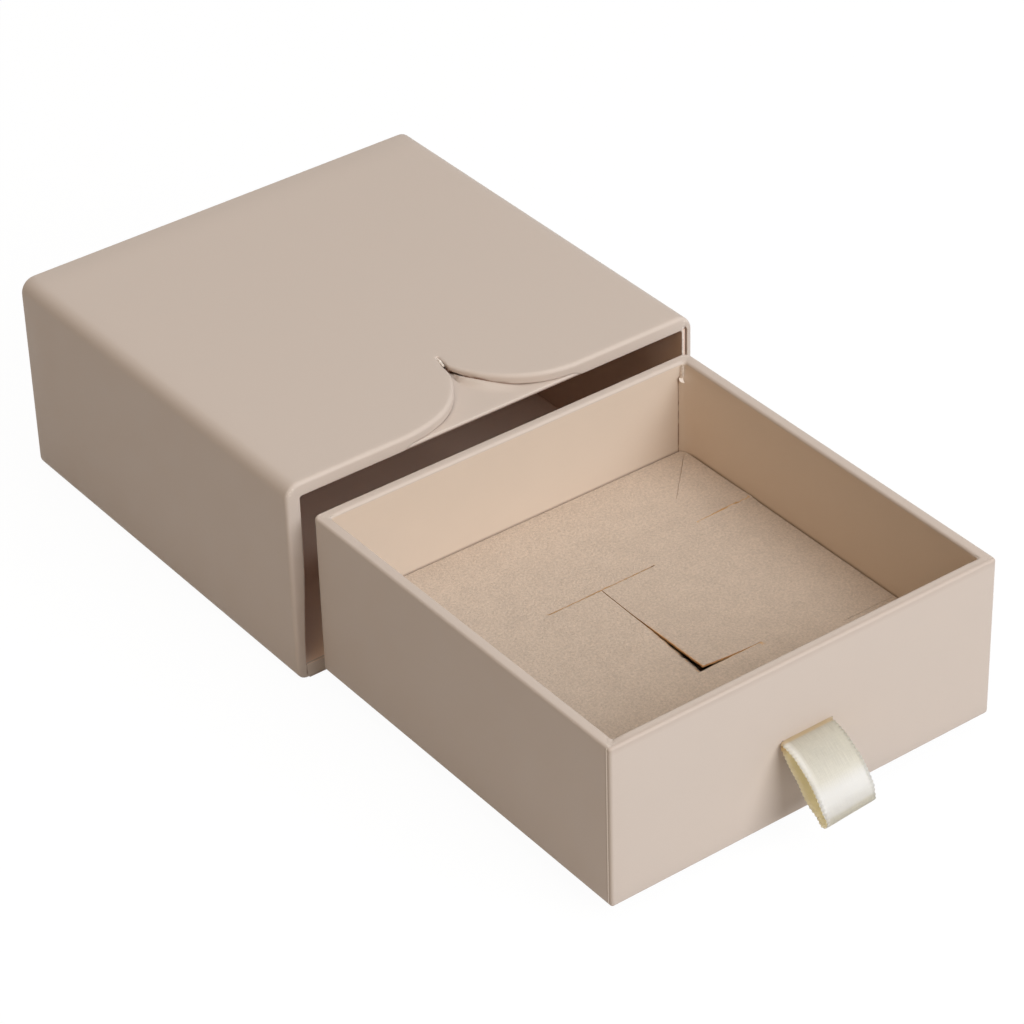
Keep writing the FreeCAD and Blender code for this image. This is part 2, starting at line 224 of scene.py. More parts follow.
def ease(low, high, value):
    """0 below low, 1 above high, and a smooth step between."""
    t = min(1.0, max(0.0, (value - low) / (high - low)))
    return t * t * (3 - 2 * t)


def ripple(x, y, z, length):
    """Smooth unevenness from -1 to 1 whose waves are about length long."""
    return noise.noise(Vector((x, y, z)) / length)


def quarter(radius, steps):
    """Steps over a quarter round: what is left to its end, and how far it has bent."""
    turns = [math.radians(90 * i / steps) for i in range(steps + 1)]
    return [(radius * (1 - math.sin(t)), radius * (1 - math.cos(t))) for t in turns]


# %% [markdown]
# ## Effects shared by the materials
# Every paper of the box has the same fibre: a faint cloud in its colour, a fine tooth in
# its surface and a few specks. Where paper is folded hard or torn, its white core shows
# in broken patches. Both are node groups, so that each material places them with its own
# values. They read the object's own coordinates, in metres, which stay with each piece
# when it moves.

# %% Node helpers
def new_group(name, inputs, outputs):
    """Empty shader node group with its sockets, and its two end nodes."""
    group = bpy.data.node_groups.new(name, "ShaderNodeTree")
    for label, kind, value in inputs:
        socket = group.interface.new_socket(name=label, in_out="INPUT", socket_type=kind)
        socket.default_value = value
    for label, kind in outputs:
        group.interface.new_socket(name=label, in_out="OUTPUT", socket_type=kind)
    return group, group.nodes.new("NodeGroupInput"), group.nodes.new("NodeGroupOutput")


def feed(tree, node, inputs):
    """Give a node's inputs plain values, or link them to other nodes' outputs."""
    for label, value in inputs.items():
        if isinstance(value, bpy.types.NodeSocket):
            tree.links.new(value, node.inputs[label])
        else:
            node.inputs[label].default_value = value


def place(tree, kind, inputs, **settings):
    """New node with its settings and its inputs."""
    node = tree.nodes.new(kind)
    for key, value in settings.items():
        setattr(node, key, value)
    feed(tree, node, inputs)
    return node


def maths(tree, operation, first, second):
    """Math node's result; each of its two inputs is a socket or a number."""
    return place(tree, "ShaderNodeMath", {0: first, 1: second}, operation=operation).outputs[0]


def plus_part(tree, first, second, share):
    """First value plus a share of the second."""
    return maths(tree, "ADD", first, maths(tree, "MULTIPLY", second, share))


def spread(tree, value, low, high, to_low, to_high):
    """Value stretched from one range to another and kept inside it."""
    limits = {"From Min": low, "From Max": high, "To Min": to_low, "To Max": to_high}
    return place(tree, "ShaderNodeMapRange", {"Value": value, **limits}).outputs["Result"]


def blend_colour(tree, amount, first, second, way="MIX"):
    """Mix of two colours; each is a socket or a colour."""
    inputs = {0: amount, 6: first, 7: second}
    return place(tree, "ShaderNodeMix", inputs, data_type="RGBA", blend_type=way).outputs[2]


def noises(tree, spot, *waves):
    """Noise textures at the given coordinates, for each scale, detail and roughness."""
    found = []
    for scale, detail, roughness in waves:
        inputs = {"Vector": spot, "Scale": scale, "Detail": detail, "Roughness": roughness}
        found.append(place(tree, "ShaderNodeTexNoise", inputs).outputs["Fac"])
    return found


def own_place(tree):
    """The object's own coordinates."""
    return tree.nodes.new("ShaderNodeTexCoord").outputs["Object"]


def painted(tree, name):
    """Number painted on the piece."""
    return place(tree, "ShaderNodeAttribute", {}, attribute_name=name).outputs["Fac"]


def bump(tree, height, depth):
    """Surface direction for a relief whose depth is in millimetres."""
    inputs = {"Strength": 1.0, "Distance": depth * MM, "Height": height}
    return place(tree, "ShaderNodeBump", inputs).outputs["Normal"]


def new_finish(name):
    """New material, its node tree and its Principled shader."""
    material = bpy.data.materials.new(name)
    material.use_nodes = True
    tree = material.node_tree
    return material, tree, tree.nodes["Principled BSDF"]


def srgb(red, green, blue):
    """Colour as a scene colour, from its three levels of 255."""
    def level(value):
        value = value / 255
        return value / 12.92 if value <= 0.04045 else ((value + 0.055) / 1.055) ** 2.4
    return (level(red), level(green), level(blue), 1.0)


def toned(colour, factor):
    """The same colour, lighter or darker."""
    return tuple(min(1.0, c * factor) for c in colour[:3]) + (1.0,)


# %% Paper fibre group
SPECK_COLOUR = srgb(150, 120, 95)
ANY_COLOUR = (0.6, 0.5, 0.4, 1)


def make_paper_fibre():
    group, start, end = new_group(
        "paper_fibre",
        [("Colour", "NodeSocketColor", ANY_COLOUR), ("Cloud", "NodeSocketFloat", 0.03)],
        [
            ("Colour", "NodeSocketColor"),
            ("Roughness", "NodeSocketFloat"),
            ("Height", "NodeSocketFloat"),
        ],
    )
    spot = own_place(group)
    cloud, tooth = noises(group, spot, (160.0, 5.0, 0.6), (5200.0, 3.0, 0.65))
    fleck = place(group, "ShaderNodeTexVoronoi", {"Vector": spot, "Scale": 420.0})
    soft = maths(group, "SUBTRACT", cloud, 0.5)
    fine = maths(group, "SUBTRACT", tooth, 0.5)
    both = plus_part(group, soft, fine, 0.9)
    tone = maths(group, "ADD", maths(group, "MULTIPLY", both, start.outputs["Cloud"]), 1.0)
    grey = place(group, "ShaderNodeCombineColor", {0: tone, 1: tone, 2: tone}).outputs[0]
    coloured = blend_colour(group, 1.0, start.outputs["Colour"], grey, "MULTIPLY")
    speck = spread(group, fleck.outputs["Distance"], 0.03, 0.06, 0.10, 0.0)
    feed(group, end, {
        "Colour": blend_colour(group, speck, coloured, SPECK_COLOUR),
        "Roughness": spread(group, cloud, 0.3, 0.7, 0.50, 0.60),
        "Height": plus_part(group, tooth, soft, 1.5),
    })
    return group


PAPER_FIBRE = make_paper_fibre()
print("group:", PAPER_FIBRE.name)


# %% Worn paper group
def make_worn_core():
    group, start, end = new_group(
        "worn_core",
        [
            ("Colour", "NodeSocketColor", ANY_COLOUR),
            ("Core", "NodeSocketColor", (0.8, 0.8, 0.8, 1)),
            ("Amount", "NodeSocketFloat", 0.0),
        ],
        [("Colour", "NodeSocketColor")],
    )
    tear, = noises(group, own_place(group), (2600.0, 4.0, 0.7))
    level = maths(group, "SUBTRACT", start.outputs["Amount"], tear)
    mask = spread(group, level, -0.12, 0.22, 0.0, 1.0)
    coloured = blend_colour(group, mask, start.outputs["Colour"], start.outputs["Core"])
    feed(group, end, {"Colour": coloured})
    return group


WORN_CORE = make_worn_core()
print("group:", WORN_CORE.name)

# %% [markdown]
# ## Paper and card finishes
# A matte printed paper scatters light almost evenly and has a faint soft shine at low
# angles. The Principled shader does that with a middle roughness and a bump of well under
# a tenth of a millimetre. Lining, kraft tape and raw board use the same fibre with their
# own colour, cloudiness and depth of tooth. The lining and the drawer's inside paper are
# made lighter than the covering paper, as painted light in the shade inside the sleeve and
# the drawer, and a crease number mixes in brown painted shade.

# %% Paper and card materials
TORN_CORE = srgb(236, 226, 216)
# Brown of the painted shade in joints, gaps and corners.
PAINTED_SHADE_BROWN = srgb(112, 74, 50)


def paper_finish(name, colour, cloud, tooth_depth):
    """Paper or card: fibre, worn places and painted shade where the piece has them, and a tooth."""
    material, tree, shader = new_finish(name)
    fibre = place(
        tree, "ShaderNodeGroup", {"Colour": colour, "Cloud": cloud}, node_tree=PAPER_FIBRE
    ).outputs
    worn = place(tree, "ShaderNodeGroup", {
        "Colour": fibre["Colour"],
        "Core": TORN_CORE,
        "Amount": painted(tree, "worn"),
    }, node_tree=WORN_CORE).outputs
    # The crease number mixes in painted shade: brown where joints, gaps and corners lie in shade.
    feed(tree, shader, {
        "Specular IOR Level": 0.32,
        "Base Color": blend_colour(tree, painted(tree, "crease"), worn["Colour"], PAINTED_SHADE_BROWN),
        "Roughness": fibre["Roughness"],
        "Normal": bump(tree, fibre["Height"], tooth_depth),
    })
    return material


cover_paper = paper_finish("cover_paper", srgb(200, 186, 175), 0.035, 0.006)
# Painted light: the drawer's inside paper is the covering paper made lighter, to make up for the
# shade inside the drawer.
inner_paper_lightened = paper_finish("inner_paper_lightened", srgb(212, 195, 178), 0.035, 0.006)
# Painted light: the lining is made lighter and pinker than the covering paper, to lift the shade
# inside the sleeve.
lining_card = paper_finish("lining_card", srgb(243, 216, 198), 0.04, 0.008)
grey_board = paper_finish("grey_board", srgb(168, 158, 144), 0.16, 0.03)
kraft_tape = paper_finish("kraft_tape", srgb(184, 150, 108), 0.10, 0.015)
pad_board = paper_finish("pad_card", srgb(188, 142, 96), 0.14, 0.02)
print("paper finishes:", [m.name for m in bpy.data.materials])

# %% [markdown]
# ## Suede finish
# The pad is faced with flocked paper: very short fibres that stand up and catch light in
# soft clumps of about half a millimetre. Clumps lie a little lighter or darker, and the
# surface has a slight sheen at low angles. Its cut edges show the brown card, so the
# finish turns to card colour where the piece is painted as cut.

# %% Suede material
def suede_finish(name, colour, cut_colour):
    material, tree, shader = new_finish(name)
    clump, fuzz, brushed = noises(
        tree, own_place(tree), (2200.0, 3.0, 0.65), (5200.0, 3.0, 0.7), (260.0, 4.0, 0.6)
    )
    nap = plus_part(tree, clump, fuzz, 0.6)
    nap = plus_part(tree, nap, brushed, 0.3)
    tone = spread(tree, nap, 0.74, 1.16, 0.0, 1.0)
    coloured = blend_colour(tree, tone, toned(colour, 0.85), toned(colour, 1.14))
    broken = plus_part(tree, painted(tree, "cut"), fuzz, 0.5)
    mask = spread(tree, broken, 0.7, 1.05, 0.0, 1.0)
    feed(tree, shader, {
        "Specular IOR Level": 0.1,
        "Sheen Weight": 0.12,
        "Sheen Roughness": 0.5,
        "Base Color": blend_colour(tree, mask, coloured, cut_colour),
        "Roughness": spread(tree, nap, 0.74, 1.16, 0.82, 0.95),
        "Normal": bump(tree, nap, 0.14),
    })
    return material


flocked_suede = suede_finish("flocked_suede", srgb(197, 179, 162), srgb(206, 164, 114))
print("suede:", flocked_suede.name)

# %% [markdown]
# ## Satin finish
# Satin shows long floating warp threads that run along the ribbon, so its shine is
# stretched across them. Fine threads are drawn from the ribbon's own measure: one map
# coordinate runs along its length and one across, both in millimetres. The selvedge
# threads at both edges are whiter and duller. The ribbon is thin enough to let some light
# through, and that light comes out yellow. Its colour also carries a painted sheen near the
# fold and painted light that lightens the loop's inner face.

# %% Satin material
WARP_SCALE = (7.0, 0.35, 1.0)
WEFT_SCALE = (0.8, 5.0, 1.0)
# Tones painted over the threads: whiter selvedges, a painted sheen near the fold (pressed), painted
# light that lightens the loop's inner face (inside) and a tan tone at the root.
SATIN_TONES = {
    "selvedge": srgb(237, 238, 242),
    "pressed": srgb(226, 228, 236),
    "inside": srgb(255, 249, 226),
    "root": srgb(226, 198, 142),
}
LET_THROUGH = srgb(252, 249, 236)
THINNESS = 0.48


def satin_finish(name, colour):
    material, tree, shader = new_finish(name)
    cloth = place(tree, "ShaderNodeUVMap", {}, uv_map="threads").outputs["UV"]
    yarns = []
    for scale in (WARP_SCALE, WEFT_SCALE):
        inputs = {"Vector": cloth, "Scale": scale}
        spot = place(tree, "ShaderNodeMapping", inputs, vector_type="POINT").outputs["Vector"]
        yarns += noises(tree, spot, (1.0, 2.0, 0.6))
    warp, weft = yarns
    threads = plus_part(tree, warp, weft, 0.5)
    tone = spread(tree, threads, 0.55, 0.95, 0.0, 1.0)
    coloured = blend_colour(tree, tone, toned(colour, 0.91), toned(colour, 1.05))
    marks = {label: painted(tree, label) for label in SATIN_TONES}
    for label, mark in marks.items():
        coloured = blend_colour(tree, mark, coloured, SATIN_TONES[label])
    gloss = spread(tree, threads, 0.5, 1.0, 0.31, 0.44)
    normal = bump(tree, threads, 0.02)
    feed(tree, shader, {
        "Specular IOR Level": 0.8,
        "Metallic": 0.12,
        "Sheen Weight": 0.08,
        "Sheen Roughness": 0.4,
        "Base Color": coloured,
        "Roughness": plus_part(tree, gloss, marks["selvedge"], 0.25),
        "Normal": normal,
    })
    yellowed = blend_colour(tree, 1.0, coloured, LET_THROUGH, "MULTIPLY")
    through = place(tree, "ShaderNodeBsdfTranslucent", {"Color": yellowed, "Normal": normal})
    thin = {0: THINNESS, 1: shader.outputs[0], 2: through.outputs[0]}
    thin = place(tree, "ShaderNodeMixShader", thin)
    feed(tree, tree.nodes["Material Output"], {"Surface": thin.outputs[0]})
    return material


satin_ribbon = satin_finish("satin_ribbon", srgb(208, 206, 200))
print("satin:", satin_ribbon.name)

# %% [markdown]
# ## The sleeve's covering
# One paper goes round the board tube, rolls over the mouth and round the two leaves, and
# turns in over the lining's edge. A solid with sharp fillets looks like plastic, so the
# covering is built as rows that follow the mouth's whole edge: foot, sides, top, and round
# both leaves into the slit between them. Each row is one step of the rolled edge's profile,
# and its roundness changes along the way, as it does where paper is pulled round a tight
# place.

# %% Section of the sleeve
def arc_points(centre, radius, start, end, steps):
    """Points on an arc, angles in degrees."""
    found = []
    for i in range(steps + 1):
        angle = math.radians(start + (end - start) * i / steps)
        found.append((centre[0] + radius * math.cos(angle), centre[1] + radius * math.sin(angle)))
    return found


def between(a, b, steps):
    """Points strictly between a and b, on a straight line."""
    return [tuple(p + (q - p) * i / steps for p, q in zip(a, b)) for i in range(1, steps)]


def sleeve_u(inset, r_top, r_foot):
    """Section below the top panel, inset all round, from its right corner to its left one."""
    half = SLEEVE_X - inset
    top = SLEEVE_Z1 - inset
    foot = SLEEVE_Z0 + inset
    right_top = arc_points((half - r_top, top - r_top), r_top, 90, 0, 9)
    right_foot = arc_points((half - r_foot, foot + r_foot), r_foot, 0, -90, 8)
    right = right_top + between(right_top[-1], right_foot[0], 12) + right_foot
    left = [(-x, z) for x, z in reversed(right)]
    return right + between(right[-1], left[0], 20) + left


def sleeve_section(inset):
    """Section of the sleeve, inset all round, with the top line last, left to right."""
    below = sleeve_u(inset, max(TOP_FOLD_R - inset, 0.2), max(FOOT_FOLD_R - inset, 0.2))
    return below + between(below[-1], below[0], 24)


# The most that the drawer has pressed the mouth's edges outward.
PRESSED_RIGHT = 0.74
PRESSED_LEFT = 0.95


def pressed_share(x, z):
    """Share of that at a height: the right edge is pressed high up, the left one low down."""
    return ease(10.0, 20.0, z) if x > 0 else ease(26.0, 3.0, z)


def thinner(x, z):
    """Where the opening's outline comes to, as the wall's edge is pressed thinner there."""
    most = PRESSED_RIGHT if x > 0 else PRESSED_LEFT
    share = (abs(x) / BAY_X) ** 4
    return x + math.copysign(most * share * pressed_share(x, z), x), z


OUTER_U = sleeve_u(0, TOP_FOLD_R, FOOT_FOLD_R)
INNER_U = [thinner(x, z) for x, z in sleeve_u(MOUTH_WALL, 0.5, 0.25)]
print("places round the section:", len(OUTER_U))


# %% Edge of the mouth
LEAF_STEPS = 48
FREE_X = 16.6                   # so far from the middle the leaves are free of the lining
LEFT_CUT = 0.78                 # the most that the knife left the true curve of each leaf
RIGHT_CUT = 0.70
POINT_OVER = 0.22               # the right leaf's very point stands out instead


def cut_back(side, angle):
    """How far the knife left the true curve near the point between the leaves."""
    if side < 0:
        return LEFT_CUT * ease(28, 68, angle)
    cut = RIGHT_CUT * ease(15, 60, angle) * ease(93, 70, angle)
    return cut - POINT_OVER * ease(72, 90, angle)


def leaf_edge(side):
    """Half of the top's edge, from the mouth line round a leaf to the slit's end."""
    centre_x = LEAF_RX + SLIT_HALF
    start = (SLEEVE_X - TOP_FOLD_R, MOUTH_Y)
    places = [(x, y, 0, -1) for x, y in between(start, (centre_x, MOUTH_Y), 8)]
    for i in range(LEAF_STEPS + 1):
        degrees = 90 * i / LEAF_STEPS
        angle = math.radians(degrees)
        x = centre_x - LEAF_RX * math.sin(angle)
        y = POINT_Y - LEAF_RY * math.cos(angle)
        out = Vector(((x - centre_x) / LEAF_RX ** 2, (y - POINT_Y) / LEAF_RY ** 2)).normalized()
        cut = cut_back(side, degrees)
        places.append((x - out.x * cut, y - out.y * cut, out.x, out.y))
    round_y = SLIT_END_Y - SLIT_HALF
    mouth_x = SLIT_HALF + cut_back(side, 90)
    places += [(x, y, -1, 0) for x, y in between((mouth_x, POINT_Y), (SLIT_HALF, round_y), 8)]
    for c, s in arc_points((0, 0), 1, 0, 90, 3):
        places.append((SLIT_HALF * c, round_y + SLIT_HALF * s, -c, -s))
    return [(side * x, y, side * ox, oy) for x, y, ox, oy in places]


def top_edge():
    """The top's edge from left to right, as in the section's order."""
    return leaf_edge(-1) + list(reversed(leaf_edge(1)))[1:]


def mouth_places():
    """Edge point, way out of the edge and way through the wall, round the whole mouth."""
    found = []
    for (x, z), (inner_x, inner_z) in zip(OUTER_U, INNER_U):
        through = Vector((inner_x - x, 0, inner_z - z))
        found.append((Vector((x, MOUTH_Y, z)), Vector((0, -1, 0)), through))
    for x, y, ox, oy in top_edge():
        wall = WALL + (MOUTH_WALL - WALL) * ease(FREE_X, 18.8, abs(x))
        found.append((Vector((x, y, SLEEVE_Z1)), Vector((ox, oy, 0)), Vector((0, 0, -wall))))
    return found


print("places round the mouth:", len(mouth_places()))

# %% [markdown]
# The leaves don't press on the lining below them. The left one lies a hair above it, and
# the right one has sprung up near the slit, which leaves a small dark gap under its edge.
# The top stays where the board is, and the edge gets thinner from below. Near the slit
# the paper is creased sharply, so its roll gets small there.

# %% Rolled edge of the mouth
ROLL = 0.75                     # radius of the paper's roll over the board's edge
RIGHT_ROLL = 0.28               # the same on the right half, below its top corner
LEFT_ROLL = 0.4                 # and at the left half's foot
LEFT_CREASE = 0.45              # how much smaller the roll gets at the slit, on each leaf
RIGHT_CREASE = 0.2
INNER_ROLL = 0.3
LEAF_GAP = 0.07                 # from the lining up to the leaves
SPRUNG = 0.85                   # how much farther the right leaf has sprung up at the slit
GROOVE = 0.5                    # depth of the open joint beside the lining
FLAT_BAND = 1.4                 # how far the rolled edge's rows reach back, outside
BAND_END = 5.0                  # and inside
TUCK = 0.3                      # step back of the wall where the turned-in paper ends


def roll_at(x, y, z, on_top):
    """Radius of the paper's roll over the board's edge at a place."""
    if not on_top and x > 0:
        return RIGHT_ROLL + (ROLL - RIGHT_ROLL) * ease(37.0, 39.3, z)
    if not on_top:
        return LEFT_ROLL + (ROLL - LEFT_ROLL) * ease(1.5, 9.0, z)
    near_slit = ease(-36.0, -29.0, y) * ease(9.0, 1.5, abs(x))
    wander = 0.05 * ripple(x, y, 3.0, 4.0)
    return ROLL + wander - (LEFT_CREASE if x < 0 else RIGHT_CREASE) * near_slit


def gap_at(x, y, on_top):
    """Height of the edge's underside above the lining at a place."""
    if not on_top or abs(x) > FREE_X:
        return 0.0
    along = ease(MOUTH_Y + 0.4, MOUTH_Y + 3.0, y)
    if x < 0:
        return along * (LEAF_GAP + 0.04 * ripple(x, y, 7.0, 3.0))
    sprung = SPRUNG * ease(-33.8, -29.8, y)
    return along * (LEAF_GAP + 0.03 * ripple(x, y, 9.0, 3.0) + sprung)


def groove_at(x, z):
    """Depth of the open joint beside the lining, on the right wall only."""
    if x < 41.0:
        return 0.0
    return GROOVE * ease(8.0, 14.0, z) * ease(38.9, 37.2, z)


def mouth_profile(roll, depth, groove, tuck):
    """Steps over the edge: way back from the edge, and way through the wall."""
    inner = min(INNER_ROLL - 0.35 * min(0.5, groove), depth - roll - 0.05)
    flat = depth - inner - roll
    steps = [(FLAT_BAND, 0.0)] + quarter(roll, 6)
    for back, share in ((0.0, 0.36), (groove, 0.42), (groove, 0.83), (0.0, 0.87)):
        steps.append((back, roll + flat * share))
    steps += [(bent, depth - left) for left, bent in quarter(inner, 3)]
    return steps + [(inner + 0.25, depth), (inner + 0.45, depth - tuck), (BAND_END, depth - tuck)]


def mouth_rows(skin):
    """All rows of the rolled edge, closed round the mouth."""
    columns = []
    for number, (point, out, through) in enumerate(mouth_places()):
        on_top = number >= len(OUTER_U)
        full = through.length
        depth = full - gap_at(point.x, point.y, on_top)
        way = through / full
        roll = min(roll_at(*point, on_top), depth * 0.6)
        tuck = TUCK if full > WALL + 0.6 or not on_top else 0.0
        steps = mouth_profile(roll, depth, groove_at(point.x, point.z), tuck)
        columns.append([point - out * back + way * deep for back, deep in steps])
    skin.strips([skin.row(level) for level in zip(*columns)], closed=True)


# %% Walls, top and back of the sleeve
BACK_BAND = 0.7                 # length of the covering's rounded back end
TOP_GRID = (4.1, 4.6)           # pitch of the top's extra points, across and along
TOP_CLEAR = 1.6                 # which keep so far from the rolled edge


def drawn_in(x, y, z):
    """A place of the wall, where its side has drawn in a little between the ends."""
    dent = 0.03 * (1 + ripple(x, y, z, 14.0)) * ease(MOUTH_Y + 2, MOUTH_Y + 8, y)
    dent = dent * ease(BACK_Y - 1, BACK_Y - 7, y)
    on_side = ease(2.5, 8.0, z) * ease(37.0, 32.0, z) if abs(x) > 42.0 else 0.0
    return x - math.copysign(dent * on_side, x), y, z


def wall_rows(skin):
    """Sides and foot, from the rolled edge to the back, and the places of their rows."""
    start = MOUTH_Y + FLAT_BAND
    length = BACK_Y - BACK_BAND - MOUTH_Y - FLAT_BAND
    stations = [start + length * i / 16 for i in range(17)]
    skin.strips([skin.row(drawn_in(x, y, z) for x, z in OUTER_U) for y in stations])
    return stations


def inside_outline(point, outline):
    """True where a point lies inside a closed outline in plan."""
    within = False
    for (x0, y0), (x1, y1) in zip(outline, outline[1:] + outline[:1]):
        if (y0 > point[1]) != (y1 > point[1]):
            if point[0] < x0 + (x1 - x0) * (point[1] - y0) / (y1 - y0):
                within = not within
    return within


def fill_flat(skin, border, holes, inside, height_at):
    """Triangles between a border and its holes in plan, with extra points among them."""
    points = []
    edges = []
    for ring in [border] + holes:
        start = len(points)
        points += [Vector(p) for p in ring]
        edges += [(start + i, start + (i + 1) % len(ring)) for i in range(len(ring))]
    points += [Vector(p) for p in inside]
    found, _, faces, *_ = delaunay_2d_cdt(points, edges, [], 0, 1e-7)
    row = skin.row((p.x, p.y, height_at(p.x, p.y)) for p in found)
    for face in faces:
        middle = sum((found[i] for i in face), Vector((0, 0))) / len(face)
        if inside_outline(middle, border) and not any(inside_outline(middle, h) for h in holes):
            skin.faces.append(tuple(row[i] for i in face))


def top_panel(skin, stations):
    """Flat top between the rolled edge, both long folds and the back."""
    half = SLEEVE_X - TOP_FOLD_R
    front = [(x - ox * FLAT_BAND, y - oy * FLAT_BAND) for x, y, ox, oy in top_edge()]
    right = [(half, y) for y in stations]
    back = [(x, stations[-1]) for x, _ in between((half, 0), (-half, 0), 24)]
    left = [(-half, y) for y in reversed(stations)]
    outline = front + right + back + left
    inside = []
    for i in range(-9, 10):
        for j in range(17):
            spot = (i * TOP_GRID[0], -38.0 + j * TOP_GRID[1])
            clear = all((Vector(spot) - Vector(p)).length > TOP_CLEAR for p in front)
            if clear and inside_outline(spot, outline):
                inside.append(spot)
    fill_flat(skin, outline, [], inside, lambda x, y: SLEEVE_Z1)


def back_end(skin, last_y):
    """Round back edge, the paper turned over it, and a back sheet a little smaller."""
    levels = [(0.6 * bent, last_y + 0.56 * (1 - left)) for left, bent in quarter(1, 4)]
    levels += [(2.0, BACK_Y - 0.14), (2.03, BACK_Y - 0.02), (2.15, BACK_Y), (6.0, BACK_Y)]
    rows = [skin.row((x, y, z) for x, z in sleeve_section(inset)) for inset, y in levels]
    skin.strips(rows, closed=True)
    skin.faces.append(tuple(rows[-1]))


def make_sleeve_cover():
    skin = Skin()
    mouth_rows(skin)
    stations = wall_rows(skin)
    top_panel(skin, stations)
    back_end(skin, stations[-1])
    return make_piece("sleeve_cover", skin)


sleeve_cover = make_sleeve_cover()

# %% [markdown]
# Under the sprung right leaf the lining swells up to the leaf's edge. The swell is kept as
# a function of its own, since the lining's shape and the painted shade above it both use it.

# %% Swell of the lining and middle of the tear
SWELL = 0.93                    # height of the swell at the slit
SWELL_LESS = 0.14               # and how much lower it is away from the slit


def pressed_up(x, y):
    """Height of the lining's swell between the leaves, in front of the slit."""
    edge_y = POINT_Y - LEAF_RY * math.sqrt(max(0.0, 1 - ((LEAF_RX - x) / LEAF_RX) ** 2))
    beside = math.exp(-((y - edge_y - 0.75) / 1.7) ** 2) * ease(-1.8, 1.0, x)
    return (SWELL - SWELL_LESS * ease(2.0, 4.0, x)) * beside * ease(8.5, 2.0, x)


def tear_middle(y):
    """Sideways place of the slit's tear, which runs off to the left towards the mouth."""
    return -0.5 * ease(-25.5, -28.5, y)


def plan_distance(x, y, from_x, from_y):
    """Distance in plan between two places."""
    return Vector((x - from_x, y - from_y)).length


# %% Wear and painted shade of the sleeve's covering
def sleeve_wear(x, y, z):
    """White core at the slit's torn fold, up the mouth's right edge, and a trace at its corners."""
    wander = 0.3 * ripple(x, y, 5.0, 0.5)
    slit = ease(0.5, 0.15, abs(x - tear_middle(y)) + wander) * ease(38.9, 39.3, z)
    slit = slit * ease(-28.6, -28.0, y) * ease(-25.0, -25.5, y)
    corner = ease(2.2, 0.3, abs(abs(x) - 41.6)) * ease(2.5, 0.4, abs(z - 38.8))
    corner = corner * ease(MOUTH_Y + 1.2, MOUTH_Y + 0.2, y)
    strip = 40.45 < x < 40.88 and 14.0 < z < 37.5 and y < MOUTH_Y + 0.3
    return max(0.56 * slit, 0.42 * corner, 0.6 * strip)


def mouth_painted_shade(x, y, z):
    """Painted shade in the joint beside the right lining, on the left lip and under the leaves."""
    joint = 0.0
    if 40.2 < x < 41.9 and z < 38.6:
        back = y - MOUTH_Y
        joint = ease(0.25, 0.7, back) * ease(1.6, 1.2, back) * ease(11.0, 17.0, z)
    under = 0.0
    if abs(x) < 18.0 and 37.0 < z < 39.0 and y < -26.0:
        near = math.exp(-plan_distance(x, y, 0.0, POINT_Y) / 5.0) if x > -0.4 else 0.0
        swell = pressed_up(x, y) if x > 1.0 else 0.0
        top = max(38.1 + 1.0 * near, 38.05 + swell)
        depth = 0.85 + 0.1 * near - 0.25 * ease(2.0, 5.0, x)
        under = depth * ease(top, top - 0.2, z) * ease(-41.4, -38.0, y)
    border = BAY_X + PRESSED_LEFT * pressed_share(-1, z)
    at_lip = x < 0 and abs(-x - border) < 0.03 and y < MOUTH_Y + 0.8
    return max(joint * 0.6, under, 0.75 * (at_lip and z < 36.3))


paint(sleeve_cover, "worn", sleeve_wear)
# Painted shade: brown in the joint, on the left lip and in the dark gap under the leaves.
paint(sleeve_cover, "crease", mouth_painted_shade)
dress(sleeve_cover, cover_paper)
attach(sleeve_cover, "sleeve")
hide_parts("sleeve_wrap_paper", "sleeve_back_paper", "sleeve_shell_board")
print("sleeve covering done")

# %% [markdown]
# The lining's ceiling shows between the leaves, so its front edge gets the same soft roll
# of paper, with a thin line of painted shade where the paper ends under it. Just before the
# slit the lining is pressed up between the leaves, so that their edges look thin there. In
# the slit the paper is torn, and a wisp of white fibre stands in it. The side linings are
# pressed outward a little at the mouth, where the drawer has rubbed past them, and the
# right one is tinted darker as painted shade.

# %% Ceiling of the lining
LINING_Y0 = MOUTH_Y + 0.12


def make_mouth_lining():
    half = SLEEVE_X - WALL
    columns = [-half, -30.0, -24.0] + [i / 2 for i in range(-40, 41)] + [24.0, 30.0, half]
    profile = [(y, LINING_Z1) for y in (40.0, 0.0)]
    profile += [(-22.0 - 0.5 * i, LINING_Z1) for i in range(36)] + [(LINING_Y0 + 1.2, LINING_Z1)]
    roll = 0.34
    profile += arc_points((LINING_Y0 + roll, LINING_Z1 - roll), roll, 90, 180, 6)
    profile += [(LINING_Y0, LINING_Z0 + 0.12), (LINING_Y0 + 0.05, LINING_Z0 + 0.02)]
    profile += [(y, LINING_Z0) for y in (LINING_Y0 + 0.4, LINING_Y0 + 3.0, 40.0)]

    def spot(i, k):
        y, z = profile[i]
        x = columns[k]
        uneven = pressed_up(x, y) - 0.02 * (1 + ripple(x, y, 1.0, 5.0)) if z > 37.3 else 0.0
        return x, y, z + uneven

    return make_sheet("mouth_lining", len(profile), len(columns), spot)


mouth_lining = make_mouth_lining()
# Painted shade: a thin brown line under the ceiling's rolled front edge, where the paper ends.
paint(mouth_lining, "crease", lambda x, y, z: 0.85 * ease(37.2, 37.08, z) * ease(-41.3, -41.6, y))
dress(mouth_lining, cover_paper, lining_card, lambda face: face.center.z < 37.05 * MM)
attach(mouth_lining, "sleeve")
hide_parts("sleeve_lining_ceiling")


# %% Sides of the lining
LINING_PRESSED = {-1: 0.92, 1: 0.70}    # the most that the left and the right one lean out


